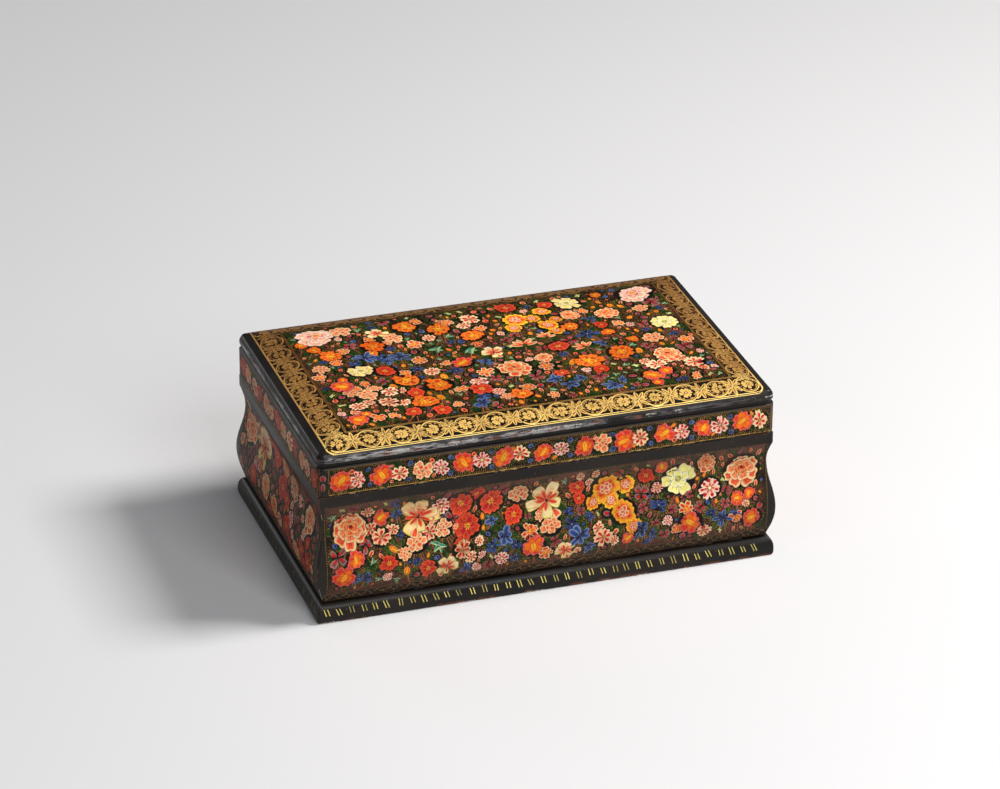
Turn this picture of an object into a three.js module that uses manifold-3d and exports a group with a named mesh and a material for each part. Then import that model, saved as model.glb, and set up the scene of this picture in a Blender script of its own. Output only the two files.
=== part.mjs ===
// Lacquered wooden casket with a hinged lid, in millimetres, +Z up.
// The origin is the middle of the underside, on the bottom board. The front faces -Y.
// A wall's outline is given as [reach, height]: reach is how far it stands out from the lid's
// painted sides, so 0 is flush with them and a negative reach is set back.
import * as THREE from 'three';
import { mergeVertices } from 'three/addons/utils/BufferGeometryUtils.js';
import Module from 'manifold-3d';

const wasm = await Module();
wasm.setup();

// Overall sizes, over the lid's painted sides
const boxLength = 304;
const boxWidth = 187;

// Fits
const glueLine = 0.3; // between two pieces that are glued face to face
const mitreLine = 0.3; // across a mitre
const lidGap = 0.5; // dark line between the lid and the body
const lipClearance = 0.8; // between the lid's rails and the lip strips they slide over
const recessFit = 0.2; // round a hinge leaf let into the wood
const screwFit = 0.15; // round a screw
const pinFit = 0.3; // round a hinge pin
const knuckleFit = 0.3; // between two knuckles, and between a knuckle and the wood

// Plinth
const plinthHeight = 12.6;
const plinthReach = 1.7;
const plinthToe = 1.1; // reach of its lower arris
const plinthBulgeHeight = 5; // where it stands out furthest
const plinthShelf = -2.6; // where its rounded top meets the flat

// Body
const wallThickness = 9.5;
const bodyTop = 88.5;
const bottomThickness = 8;
const footReach = -3.1;
const bellyReach = 2;
const bellyHeight = 34.5;
const neckReach = -3.3;
const neckHeight = 68;
const bandReach = -0.4;
const bandHeight = 81; // lower arris of the straight black band under the lid
const footSwing = THREE.MathUtils.degToRad(80); // how far the belly's curve turns under
const lipThickness = 3;
const lipHeight = 14;
const lipProud = 3;

// Lid
const railHeight = 19.5;
const lidCornerRadius = 5;
const panelThickness = 14.9;
const coveReach = -1.5;
const coveHeight = 2.4; // of the set-back band under the moulded edge
const ridgeReach = -0.2;
const ridgeHeight = 2.85; // of the upright edge of the moulding
const bevelWidth = 2.2; // of the steep rounded edge above the ridge
const crownWidth = 34; // from the ridge in, over which the top rises gently
const crownRise = 6.5;
const innerCornerRadius = 0.4; // least radius of the top's outlines

// Hinges
const hingeSpread = 92; // of each hinge from the middle of the back
const leafLength = 26;
const leafDepth = 7.2;
const leafThickness = 1.2;
const knuckleCount = 3;
const knuckleRadius = 2.4;
const pinRadius = 1;
const pinHeadRadius = 1.5;
const pinHeadLength = 0.7;
const screwSpread = 7.6; // of each screw from the middle of its leaf
const screwLength = 8;
const screwHeadRadius = 2.1;
const screwHeadDepth = 0.9;
const screwShankRadius = 1;
const screwTipLength = 2.5;
const screwTipRadius = 0.3;
const slotWidth = 0.5;
const slotDepth = 0.35;

// Steps in curved outlines
const neckSteps = 5;
const bellySteps = 8;
const footSteps = 6;
const plinthSteps = 6;
const bevelSteps = 4;
const crownSteps = 8;
const cornerSteps = 6;
const roundSides = 24;
const screwSides = 16;

// Worked out from the sizes above
const wallFoot = plinthHeight + glueLine;
const lidBottom = bodyTop + lidGap;
const railTop = lidBottom + railHeight;
const panelBottom = railTop + glueLine;
const lidTop = panelBottom + panelThickness;
const railThickness = wallThickness + glueLine - lipClearance;
const axisOut = knuckleRadius + knuckleFit; // of the hinge axis behind the back face
const axisHeight = bodyTop + lidGap / 2;

const paintedLacquer = new THREE.MeshStandardMaterial({ color: 0x4a2c1c, roughness: 0.32, metalness: 0 });
const blackLacquer = new THREE.MeshStandardMaterial({ color: 0x17130f, roughness: 0.3, metalness: 0 });
const stainedWood = new THREE.MeshStandardMaterial({ color: 0x3b2116, roughness: 0.55, metalness: 0 });
const brass = new THREE.MeshStandardMaterial({ color: 0xa88342, roughness: 0.4, metalness: 1 });

// Solids
function solidOf(geometry) {
  const plain = geometry.clone();
  plain.deleteAttribute('normal');
  plain.deleteAttribute('uv');
  const merged = mergeVertices(plain, 1e-5);
  const vertProperties = new Float32Array(merged.attributes.position.array);
  const triVerts = new Uint32Array(merged.index.array);
  return new wasm.Manifold(new wasm.Mesh({ numProp: 3, vertProperties, triVerts }));
}

function geometryOf(solid) {
  const mesh = solid.getMesh();
  const geometry = new THREE.BufferGeometry();
  geometry.setAttribute('position', new THREE.BufferAttribute(new Float32Array(mesh.vertProperties), 3));
  geometry.setIndex(new THREE.BufferAttribute(new Uint32Array(mesh.triVerts), 1));
  geometry.computeVertexNormals();
  return geometry;
}

function block(low, high) {
  const size = high.map((value, axis) => value - low[axis]);
  const middle = high.map((value, axis) => (value + low[axis]) / 2);
  return new THREE.BoxGeometry(...size).translate(...middle);
}

function alongX(radius, length, middle, sides) {
  return new THREE.CylinderGeometry(radius, radius, length, sides)
    .rotateZ(Math.PI / 2).translate(middle, 0, 0);
}

function part(name, geometry, material) {
  const mesh = new THREE.Mesh(geometry, material);
  mesh.name = name;
  return mesh;
}

// Outlines, as lists of [reach, height] that run up the outside and down the inside
function easedSteps(count, point) {
  return Array.from({ length: count }, (_, step) => point((step + 1) / count));
}

function bodyOutline() {
  const neckToBand = easedSteps(neckSteps, (t) => [
    neckReach + (bandReach - neckReach) * (1 - Math.cos(t * Math.PI / 2)),
    neckHeight + (bandHeight - neckHeight) * t,
  ]);
  const bellyToNeck = easedSteps(bellySteps, (t) => [
    bellyReach + (neckReach - bellyReach) * (1 - Math.cos(t * Math.PI)) / 2,
    bellyHeight + (neckHeight - bellyHeight) * t,
  ]);
  const footToBelly = easedSteps(footSteps, (t) => [
    bellyReach - (bellyReach - footReach) * (1 - Math.cos((1 - t) * footSwing)) / (1 - Math.cos(footSwing)),
    wallFoot + (bellyHeight - wallFoot) * t,
  ]);
  return [
    [footReach, wallFoot],
    ...footToBelly,
    ...bellyToNeck,
    ...neckToBand,
    [bandReach, bodyTop],
    [-wallThickness, bodyTop],
    [-wallThickness, wallFoot],
  ];
}

function plinthOutline() {
  const rise = plinthHeight - plinthBulgeHeight;
  const roundedTop = easedSteps(plinthSteps, (t) => [
    plinthShelf + (plinthReach - plinthShelf) * Math.cos(t * Math.PI / 2),
    plinthBulgeHeight + rise * Math.sin(t * Math.PI / 2),
  ]);
  return [
    [plinthToe, 0],
    [plinthReach, plinthBulgeHeight / 2],
    [plinthReach, plinthBulgeHeight],
    ...roundedTop,
    [-wallThickness, plinthHeight],
    [-wallThickness, 0],
  ];
}

function railOutline() {
  return [[0, lidBottom], [0, railTop], [-railThickness, railTop], [-railThickness, lidBottom]];
}

// The panel's moulded edge and crowned top, from its underside up to the flat in the middle
function panelOutline() {
  const coveTop = panelBottom + coveHeight;
  const ridgeFoot = coveTop + (ridgeReach - coveReach) / 2;
  const ridgeTop = ridgeFoot + ridgeHeight;
  const bevelRise = lidTop - crownRise - ridgeTop;
  // a quarter sine over the bevel, plus a parabola over the crown
  const heightAt = (inwards) => ridgeTop
    + bevelRise * Math.sin(Math.min(inwards / bevelWidth, 1) * Math.PI / 2)
    + crownRise * (1 - (1 - inwards / crownWidth) ** 2);
  const bevel = easedSteps(bevelSteps, (t) => bevelWidth * t);
  const crown = easedSteps(crownSteps, (t) => bevelWidth + (crownWidth - bevelWidth) * t);
  return [
    [coveReach, panelBottom],
    [coveReach, coveTop],
    [ridgeReach, ridgeFoot],
    [ridgeReach, ridgeTop],
    ...[...bevel, ...crown].map((inwards) => [ridgeReach - inwards, heightAt(inwards)]),
  ];
}

// A board or moulding for the front, mitred at both ends, with its outline swept along X
function mitredBar(outline, length, width) {
  const shape = new THREE.Shape(outline.map(([reach, height]) => new THREE.Vector2(-reach, height)));
  const bar = new THREE.ExtrudeGeometry(shape, { depth: 1, bevelEnabled: false });
  const position = bar.attributes.position;
  for (let i = 0; i < position.count; i += 1) {
    const reach = -position.getX(i);
    const height = position.getY(i);
    const end = position.getZ(i) > 0.5 ? 1 : -1;
    const halfLength = length / 2 + reach - mitreLine / Math.SQRT2;
    position.setXYZ(i, end * halfLength, -(width / 2 + reach), height);
  }
  return bar;
}

// The four sides of a frame, each turned to face its own way
const sides = [
  { name: 'front', turn: 0, length: boxLength, width: boxWidth },
  { name: 'right', turn: Math.PI / 2, length: boxWidth, width: boxLength },
  { name: 'back', turn: Math.PI, length: boxLength, width: boxWidth },
  { name: 'left', turn: -Math.PI / 2, length: boxWidth, width: boxLength },
];

function roundedRectangle(reach) {
  const x = boxLength / 2 + reach;
  const y = boxWidth / 2 + reach;
  const radius = Math.max(lidCornerRadius + reach, innerCornerRadius);
  const corners = [[1, -1, -90], [1, 1, 0], [-1, 1, 90], [-1, -1, 180]];
  return corners.flatMap(([signX, signY, start]) => Array.from({ length: cornerSteps + 1 }, (_, step) => {
    const angle = THREE.MathUtils.degToRad(start + 90 * step / cornerSteps);
    return new THREE.Vector2(
      signX * (x - radius) + radius * Math.cos(angle),
      signY * (y - radius) + radius * Math.sin(angle),
    );
  }));
}

// Lid
function lidPanel() {
  const rings = panelOutline().map(([reach, height]) => roundedRectangle(reach)
    .map((point) => [point.x, point.y, height]));
  const around = rings[0].length;
  const positions = [...rings.flat(), [0, 0, panelBottom], [0, 0, lidTop]];
  const underside = positions.length - 2;
  const top = positions.length - 1;
  const index = [];
  for (let step = 0; step < around; step += 1) {
    const next = (step + 1) % around;
    for (let ring = 0; ring < rings.length - 1; ring += 1) {
      const low = ring * around;
      const high = low + around;
      index.push(low + step, low + next, high + next, low + step, high + next, high + step);
    }
    const last = (rings.length - 1) * around;
    index.push(underside, next, step, top, last + step, last + next);
  }
  const geometry = new THREE.BufferGeometry();
  geometry.setAttribute('position', new THREE.Float32BufferAttribute(positions.flat(), 3));
  geometry.setIndex(index);
  geometry.computeVertexNormals();
  return part('lid_top_panel', geometry, paintedLacquer);
}

function lidRails() {
  const rounded = new THREE.ExtrudeGeometry(new THREE.Shape(roundedRectangle(0)), {
    depth: railHeight + 2,
    bevelEnabled: false,
  }).translate(0, 0, lidBottom - 1);
  return sides.map(({ name, turn, length, width }) => {
    let rail = solidOf(mitredBar(railOutline(), length, width).rotateZ(turn)).intersect(solidOf(rounded));
    if (name === 'back') rail = withHingeCuts(rail, 1);
    return part(`lid_rail_${name}`, geometryOf(rail), paintedLacquer);
  });
}

// Body
function bodyWalls() {
  return sides.map(({ name, turn, length, width }) => {
    const bar = mitredBar(bodyOutline(), length, width);
    if (name !== 'back') {
      const wall = part(`body_wall_${name}`, bar, paintedLacquer);
      wall.rotation.z = turn;
      return wall;
    }
    const wall = withHingeCuts(solidOf(bar.rotateZ(turn)), -1);
    return part('body_wall_back', geometryOf(wall), paintedLacquer);
  });
}

function plinthMouldings() {
  return sides.map(({ name, turn, length, width }) => {
    const moulding = part(`plinth_${name}`, mitredBar(plinthOutline(), length, width), blackLacquer);
    moulding.rotation.z = turn;
    return moulding;
  });
}

function bottomBoard() {
  const inset = wallThickness + glueLine;
  const x = boxLength / 2 - inset;
  const y = boxWidth / 2 - inset;
  return part('bottom_board', block([-x, -y, 0], [x, y, bottomThickness]), stainedWood);
}

// Strips inside the top of the body that stand proud and centre the lid
function lipStrips() {
  const low = bodyTop + lipProud - lipHeight;
  const high = bodyTop + lipProud;
  const outerX = boxLength / 2 - wallThickness - glueLine;
  const outerY = boxWidth / 2 - wallThickness - glueLine;
  const innerX = outerX - lipThickness;
  const innerY = outerY - lipThickness;
  const front = block([-outerX, -outerY, low], [outerX, -innerY, high]);
  const strips = [part('lip_strip_front', front, stainedWood)];
  for (const [name, sign] of [['left', -1], ['right', 1]]) {
    const edges = [sign * innerX, sign * outerX].sort((a, b) => a - b);
    const strip = block([edges[0], -innerY + glueLine, low], [edges[1], outerY, high]);
    strips.push(part(`lip_strip_${name}`, strip, stainedWood));
  }
  return strips;
}

// Hinges, drawn about their own axis: X runs along it, +Y points away from the box.
// side is 1 for the lid's half, above the axis, and -1 for the body's half, below it.
function heights(side, near, far) {
  return [side * near, side * far].sort((a, b) => a - b);
}

function knuckleSpan(index) {
  const pitch = leafLength / knuckleCount;
  const middle = (index + 0.5) * pitch - leafLength / 2;
  return { middle, length: pitch - knuckleFit };
}

// extra widens the screw into the hole that clears it
function screwShape(extra) {
  const outline = [
    [0, -screwLength - extra],
    [screwTipRadius + extra, -screwLength - extra],
    [screwShankRadius + extra, screwTipLength - screwLength],
    [screwShankRadius + extra, -screwHeadDepth],
    [screwHeadRadius + 2 * extra, extra],
    [0, extra],
  ];
  const points = outline.map(([radius, height]) => new THREE.Vector2(radius, height));
  return solidOf(new THREE.LatheGeometry(points, screwSides).rotateX(Math.PI / 2));
}

function screwPlaces(side) {
  const y = -(axisOut + leafDepth / 2);
  return [-1, 1].map((end) => ({ end, matrix: screwMatrix(side, end * screwSpread, y) }));
}

function screwMatrix(side, x, y) {
  const turn = new THREE.Matrix4().makeRotationX(side > 0 ? Math.PI : 0);
  return new THREE.Matrix4().makeTranslation(x, y, side * lidGap / 2).multiply(turn);
}

function leafSolid(side) {
  const [low, high] = heights(side, lidGap / 2, lidGap / 2 + leafThickness);
  const back = -(axisOut + leafDepth);
  let leaf = solidOf(block([-leafLength / 2, back, low], [leafLength / 2, -axisOut, high]));
  for (let index = 0; index < knuckleCount; index += 1) {
    const owner = index % 2 === 1 ? 1 : -1;
    if (owner === side) {
      const { middle, length } = knuckleSpan(index);
      const root = -axisOut - leafThickness;
      const tongue = block([middle - length / 2, root, low], [middle + length / 2, 0, high]);
      const knuckle = alongX(knuckleRadius, length, middle, roundSides);
      leaf = leaf.add(solidOf(tongue)).add(solidOf(knuckle));
    }
  }
  leaf = leaf.subtract(solidOf(alongX(pinRadius + pinFit, leafLength * 2, 0, roundSides)));
  for (const { matrix } of screwPlaces(side)) {
    leaf = leaf.subtract(screwShape(screwFit).transform(matrix.elements));
  }
  return leaf;
}

function screwSolid() {
  const reach = screwHeadRadius * 2;
  const slot = block([-reach, -slotWidth / 2, -slotDepth], [reach, slotWidth / 2, slotDepth]);
  return screwShape(0).subtract(solidOf(slot));
}

function pinSolid() {
  let pin = solidOf(alongX(pinRadius, leafLength + pinHeadLength, 0, roundSides));
  for (const end of [-1, 1]) {
    const middle = end * (leafLength + pinHeadLength) / 2;
    pin = pin.add(solidOf(alongX(pinHeadRadius, pinHeadLength, middle, roundSides)));
  }
  return pin;
}

// Recesses and screw holes for both hinges, cut from the lid's back rail or the body's back wall
function withHingeCuts(wood, side) {
  const [low, high] = heights(side, lidGap / 2 - 1, lidGap / 2 + leafThickness + recessFit);
  const half = leafLength / 2 + recessFit;
  const recess = solidOf(block([-half, -(axisOut + leafDepth + recessFit), low], [half, 0, high]));
  let cut = wood;
  for (const centre of [-hingeSpread, hingeSpread]) {
    const place = new THREE.Matrix4().makeTranslation(centre, boxWidth / 2 + axisOut, axisHeight);
    cut = cut.subtract(recess.transform(place.elements));
    for (const { matrix } of screwPlaces(side)) {
      cut = cut.subtract(screwShape(screwFit).transform(place.clone().multiply(matrix).elements));
    }
  }
  return cut;
}

function hinge(name, centre) {
  const group = new THREE.Group();
  group.position.set(centre, boxWidth / 2 + axisOut, axisHeight);
  for (const [owner, side] of [['lid', 1], ['body', -1]]) {
    group.add(part(`${name}_${owner}_leaf`, geometryOf(leafSolid(side)), brass));
    for (const { end, matrix } of screwPlaces(side)) {
      const screw = part(`${name}_${owner}_screw_${end < 0 ? 1 : 2}`, geometryOf(screwSolid()), brass);
      screw.applyMatrix4(matrix);
      group.add(screw);
    }
  }
  group.add(part(`${name}_pin`, geometryOf(pinSolid()), brass));
  return group;
}

const box = new THREE.Group();
box.add(lidPanel(), ...lidRails());
box.add(...bodyWalls(), bottomBoard(), ...plinthMouldings(), ...lipStrips());
box.add(hinge('hinge_left', -hingeSpread), hinge('hinge_right', hingeSpread));

export default box;
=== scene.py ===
# Painted lacquer casket: the looks of every piece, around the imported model.
# Settings are in millimetres and meshes in metres. +Z is up and the front faces -Y.
import math

import bpy
import numpy as np
from mathutils import Matrix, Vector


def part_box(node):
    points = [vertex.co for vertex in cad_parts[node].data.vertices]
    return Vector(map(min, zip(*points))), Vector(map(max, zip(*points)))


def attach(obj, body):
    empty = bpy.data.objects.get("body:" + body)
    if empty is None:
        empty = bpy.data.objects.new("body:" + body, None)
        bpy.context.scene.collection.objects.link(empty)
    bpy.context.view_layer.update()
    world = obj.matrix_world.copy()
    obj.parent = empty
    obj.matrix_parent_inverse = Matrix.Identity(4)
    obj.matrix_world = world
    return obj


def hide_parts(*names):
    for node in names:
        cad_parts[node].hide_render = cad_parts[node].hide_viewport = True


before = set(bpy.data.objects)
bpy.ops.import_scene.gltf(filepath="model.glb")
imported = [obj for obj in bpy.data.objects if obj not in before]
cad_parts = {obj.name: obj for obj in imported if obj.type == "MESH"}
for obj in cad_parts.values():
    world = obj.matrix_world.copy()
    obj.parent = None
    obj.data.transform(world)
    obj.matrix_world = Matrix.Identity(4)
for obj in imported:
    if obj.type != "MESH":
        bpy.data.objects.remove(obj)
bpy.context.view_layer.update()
mm = 0.001


def cornersOf(node):
    low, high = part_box(node)
    return np.array(low) / mm, np.array(high) / mm


# The box's own sizes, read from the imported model
boxLength = 2 * cornersOf("lid_rail_right")[1][0]
boxWidth = -2 * cornersOf("lid_rail_front")[0][1]
plinthTop = cornersOf("plinth_front")[1][2]
wallFoot, wallTop = cornersOf("body_wall_front")[0][2], cornersOf("body_wall_front")[1][2]
railFoot, railTop = cornersOf("lid_rail_front")[0][2], cornersOf("lid_rail_front")[1][2]
panelFoot, lidTop = cornersOf("lid_top_panel")[0][2], cornersOf("lid_top_panel")[1][2]
sides = {
    "front": dict(turn=0, length=boxLength, width=boxWidth),
    "right": dict(turn=90, length=boxWidth, width=boxLength),
    "back": dict(turn=180, length=boxLength, width=boxWidth),
    "left": dict(turn=-90, length=boxWidth, width=boxLength),
}
print("frame loaded: box", round(boxLength, 1), "by", round(boxWidth, 1), "by", round(lidTop, 1))


# Camera, floor and lights
camera = dict(lens=174.1, azimuth=-18.364, elevation=26.396, distance=3130.36,
              target=(-1.298, 2.575, 93.133), roll=0.273)
studio = dict(
    floorColour=(0.64, 0.64, 0.65), worldColour=(0.070, 0.072, 0.078), worldStrength=1.0,
    lamps=[
        dict(name="key", place=(1500, -350, 1900), size=800, power=74, colour=(1, 0.98, 0.95)),
        dict(name="front", place=(300, -2300, 1700), size=1300, power=44, colour=(1, 1, 1)),
        dict(name="fill", place=(-1800, -900, 1300), size=1200, power=4, colour=(0.95, 0.97, 1)),
        dict(name="side", place=(-1200, 2330, 760), size=1000, power=9, colour=(1, 1, 1)),
    ],
)


def aimed(place, target, roll=0.0):
    # a turn whose -Z looks from place to target, with +Y up, rolled about the line of sight
    forward = np.array(target, float) - np.array(place, float)
    forward /= np.linalg.norm(forward)
    right = np.cross(forward, (0, 0, 1))
    right /= np.linalg.norm(right)
    up = np.cross(right, forward)
    turned = np.cos(roll) * right + np.sin(roll) * up
    upright = np.cos(roll) * up - np.sin(roll) * right
    matrix = np.eye(4)
    matrix[:3, 0], matrix[:3, 1], matrix[:3, 2] = turned, upright, -forward
    matrix[:3, 3] = np.array(place) * mm
    return Matrix(matrix.tolist())


def makeCamera():
    azimuth, elevation = math.radians(camera["azimuth"]), math.radians(camera["elevation"])
    outwards = np.array([math.sin(azimuth) * math.cos(elevation),
                         -math.cos(azimuth) * math.cos(elevation), math.sin(elevation)])
    place = np.array(camera["target"]) + camera["distance"] * outwards
    data = bpy.data.cameras.new("camera")
    data.lens = camera["lens"]
    data.clip_end = 100
    item = bpy.data.objects.new("camera", data)
    bpy.context.collection.objects.link(item)
    item.matrix_world = aimed(place, camera["target"], math.radians(camera["roll"]))
    bpy.context.scene.camera = item


def makeStudio():
    scene = bpy.context.scene
    scene.view_settings.view_transform = "Standard"
    world = bpy.data.worlds.new("studio")
    world.use_nodes = True
    world.node_tree.nodes["Background"].inputs["Color"].default_value = (*studio["worldColour"], 1)
    world.node_tree.nodes["Background"].inputs["Strength"].default_value = studio["worldStrength"]
    scene.world = world
    bpy.ops.mesh.primitive_plane_add(size=12, location=(0, 0, 0))
    floor = bpy.context.object
    floor.name = "floor"
    finish = Finish("floorPaper")
    finish.set("Base Color", (*studio["floorColour"], 1))
    finish.set("Roughness", 0.75)
    floor.data.materials.append(finish.material)
    for lamp in studio["lamps"]:
        data = bpy.data.lights.new(lamp["name"], "AREA")
        data.size = lamp["size"] * mm
        data.energy = lamp["power"]
        data.color = lamp["colour"]
        item = bpy.data.objects.new(lamp["name"], data)
        bpy.context.collection.objects.link(item)
        item.matrix_world = aimed(lamp["place"], (0, 0, 60))


# Shader maths: a socket that can be added to, multiplied and so on
class Socket:
    def __init__(self, finish, socket):
        self.finish = finish
        self.socket = socket

    def maths(self, operation, *values):
        return self.finish.add("ShaderNodeMath", {"operation": operation}, dict(enumerate(values)))

    def __add__(self, other):
        return self.maths("ADD", self, other)

    def __sub__(self, other):
        return self.maths("SUBTRACT", self, other)

    def __rsub__(self, other):
        return self.maths("SUBTRACT", other, self)

    def __mul__(self, other):
        return self.maths("MULTIPLY", self, other)

    __radd__ = __add__
    __rmul__ = __mul__

    def between(self, low, high):
        # 0 below low, 1 above high, and a smooth rise between them
        settings = {"interpolation_type": "SMOOTHSTEP"}
        inputs = {"Value": self, "From Min": low, "From Max": high}
        return self.finish.add("ShaderNodeMapRange", settings, inputs, "Result")


class Finish:
    def __init__(self, name):
        self.material = bpy.data.materials.new(name)
        self.material.use_nodes = True
        self.tree = self.material.node_tree
        self.shader = self.tree.nodes["Principled BSDF"]

    def feed(self, socket, value):
        if isinstance(value, Socket):
            self.tree.links.new(value.socket, socket)
        else:
            socket.default_value = value

    def add(self, kind, settings=None, inputs=None, output=0):
        node = self.tree.nodes.new(kind)
        for key, value in (settings or {}).items():
            if key == "stops":
                self.setStops(node.color_ramp, value)
            else:
                setattr(node, key, value)
        for key, value in (inputs or {}).items():
            self.feed(node.inputs[key], value)
        return Socket(self, node.outputs[output])

    def setStops(self, ramp, stops):
        while len(ramp.elements) < len(stops):
            ramp.elements.new(1.0)
        for element, (place, colour) in zip(ramp.elements, stops):
            element.position = place
            element.color = (*colour, 1)

    def set(self, name, value):
        self.feed(self.shader.inputs[name], value)

    def place(self, stretch=(1, 1, 1)):
        # Object coordinates in metres, multiplied along each axis
        here = self.add("ShaderNodeTexCoord", output="Object")
        return self.add("ShaderNodeMapping", {}, {"Vector": here, "Scale": stretch})

    def noise(self, size, detail=3.0, stretch=(1, 1, 1), roughness=0.5):
        # soft cloud, 0 to 1, whose lumps are about size millimetres across
        inputs = {"Vector": self.place(stretch), "Scale": 1 / (size * mm), "Detail": detail,
                  "Roughness": roughness}
        return self.add("ShaderNodeTexNoise", {}, inputs)

    def cracks(self, size):
        # distance to the nearest crack of a net with cells of about size millimetres
        inputs = {"Vector": self.place(), "Scale": 1 / (size * mm)}
        return self.add("ShaderNodeTexVoronoi", {"feature": "DISTANCE_TO_EDGE"}, inputs)

    def mix(self, factor, first, second, blend="MIX"):
        settings = {"data_type": "RGBA", "blend_type": blend}
        return self.add("ShaderNodeMix", settings, {0: factor, 6: first, 7: second}, 2)

    def attribute(self, name, output):
        return self.add("ShaderNodeAttribute", {"attribute_name": name}, {}, output)

    def bump(self, height, distance, strength=1.0):
        inputs = {"Height": height, "Distance": distance * mm, "Strength": strength}
        self.set("Normal", self.add("ShaderNodeBump", {}, inputs))


makeCamera()
makeStudio()
print("camera and studio set")


# Colours, as they look by eye, and the linear light that stands for each
palette = dict(
    ivory=(252, 240, 214), cream=(250, 222, 164), blush=(244, 186, 156), pinkWhite=(250, 220, 206),
    salmon=(236, 132, 88), peach=(246, 182, 112), coral=(228, 88, 50), orange=(238, 112, 32),
    amber=(248, 156, 44), yellow=(248, 198, 50), lemon=(236, 222, 124), vermilion=(216, 58, 32),
    crimson=(190, 30, 34), wine=(104, 18, 26), rosePink=(218, 104, 96), mauve=(116, 66, 62),
    dusk=(72, 36, 36), lilac=(166, 122, 116), navy=(20, 28, 62), blue=(44, 68, 130),
    sky=(124, 146, 184), slate=(80, 92, 126), forest=(11, 19, 5), green=(28, 54, 15),
    moss=(76, 94, 38), teal=(18, 100, 76), sea=(118, 172, 130), pale=(198, 206, 140),
    stem=(128, 32, 44), tan=(166, 130, 90), earth=(84, 50, 32), gold=(214, 170, 80),
    brightGold=(244, 210, 108), oldGold=(152, 114, 58), darkGold=(104, 76, 42), black=(14, 12, 10),
    # The last two colours are painted light: dark red-brown for shade and sheen on the left side,
    # grey-brown for sheen on the others
    umber=(30, 16, 9), haze=(54, 36, 30), dustAndSheen=(88, 66, 58),
)


def linear(colour):
    share = np.array(colour, float) / 255
    return np.where(share < 0.04045, share / 12.92, ((share + 0.055) / 1.055) ** 2.4)


palette = {name: linear(colour) for name, colour in palette.items()}


# Meshes
def makePiece(name, points, quads, body, materials, polygons=(), inside=None, values=None,
              colours=None, places=None, replaced=()):
    # points are in metres; quads is an array of faces and polygons a list of larger ones
    sizes = np.concatenate([np.full(len(quads), 4), [len(face) for face in polygons]]).astype(np.int32)
    corners = np.concatenate([quads.ravel(), *[np.array(face) for face in polygons]]).astype(np.int32)
    mesh = bpy.data.meshes.new(name)
    mesh.vertices.add(len(points))
    mesh.vertices.foreach_set("co", points.astype(np.float32).ravel())
    mesh.loops.add(len(corners))
    mesh.loops.foreach_set("vertex_index", corners)
    mesh.polygons.add(len(sizes))
    mesh.polygons.foreach_set("loop_start", (np.cumsum(sizes) - sizes).astype(np.int32))
    mesh.polygons.foreach_set("loop_total", sizes)
    mesh.update(calc_edges=True)
    mesh.shade_smooth()
    if inside is not None:
        mesh.polygons.foreach_set("material_index", inside.astype(np.int32))
    for key, value in (values or {}).items():
        mesh.attributes.new(key, "FLOAT", "POINT").data.foreach_set("value", value.astype(np.float32))
    for key, value in (colours or {}).items():
        rgba = np.concatenate([value, np.ones((len(value), 1))], 1).astype(np.float32)
        mesh.color_attributes.new(key, "FLOAT_COLOR", "POINT").data.foreach_set("color", rgba.ravel())
    if places is not None:
        layer = mesh.uv_layers.new(name="OFBake")
        layer.uv.foreach_set("vector", places[corners].astype(np.float32).ravel())
    for material in materials:
        mesh.materials.append(material)
    mesh.validate()
    piece = bpy.data.objects.new(name, mesh)
    bpy.context.collection.objects.link(piece)
    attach(piece, body)
    if replaced:
        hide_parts(*replaced)


def gridQuads(rows, columns, closed=False):
    # faces of a grid whose points run along the columns first; closed joins the last row to the first
    row, column = np.meshgrid(np.arange(rows - (not closed)), np.arange(columns - 1), indexing="ij")
    here, after = row * columns + column, (row + 1) % rows * columns + column
    return np.stack([here, here + 1, after + 1, after], -1).reshape(-1, 4)


def onSide(side, along, out, height):
    # a point of the front, turned about the upright axis to the side it belongs to
    turn = math.radians(sides[side]["turn"])
    x = along * math.cos(turn) + out * math.sin(turn)
    y = along * math.sin(turn) - out * math.cos(turn)
    return np.stack(np.broadcast_arrays(x, y, height), -1) * mm


def closeness(points, arrises, reachOut):
    # 1 on an arris, falling off with distance as exp(-distance / reachOut)
    gaps = np.linalg.norm(points[:, None] - np.array(arrises)[None], axis=2).min(1)
    return np.exp(-gaps / reachOut)


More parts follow.
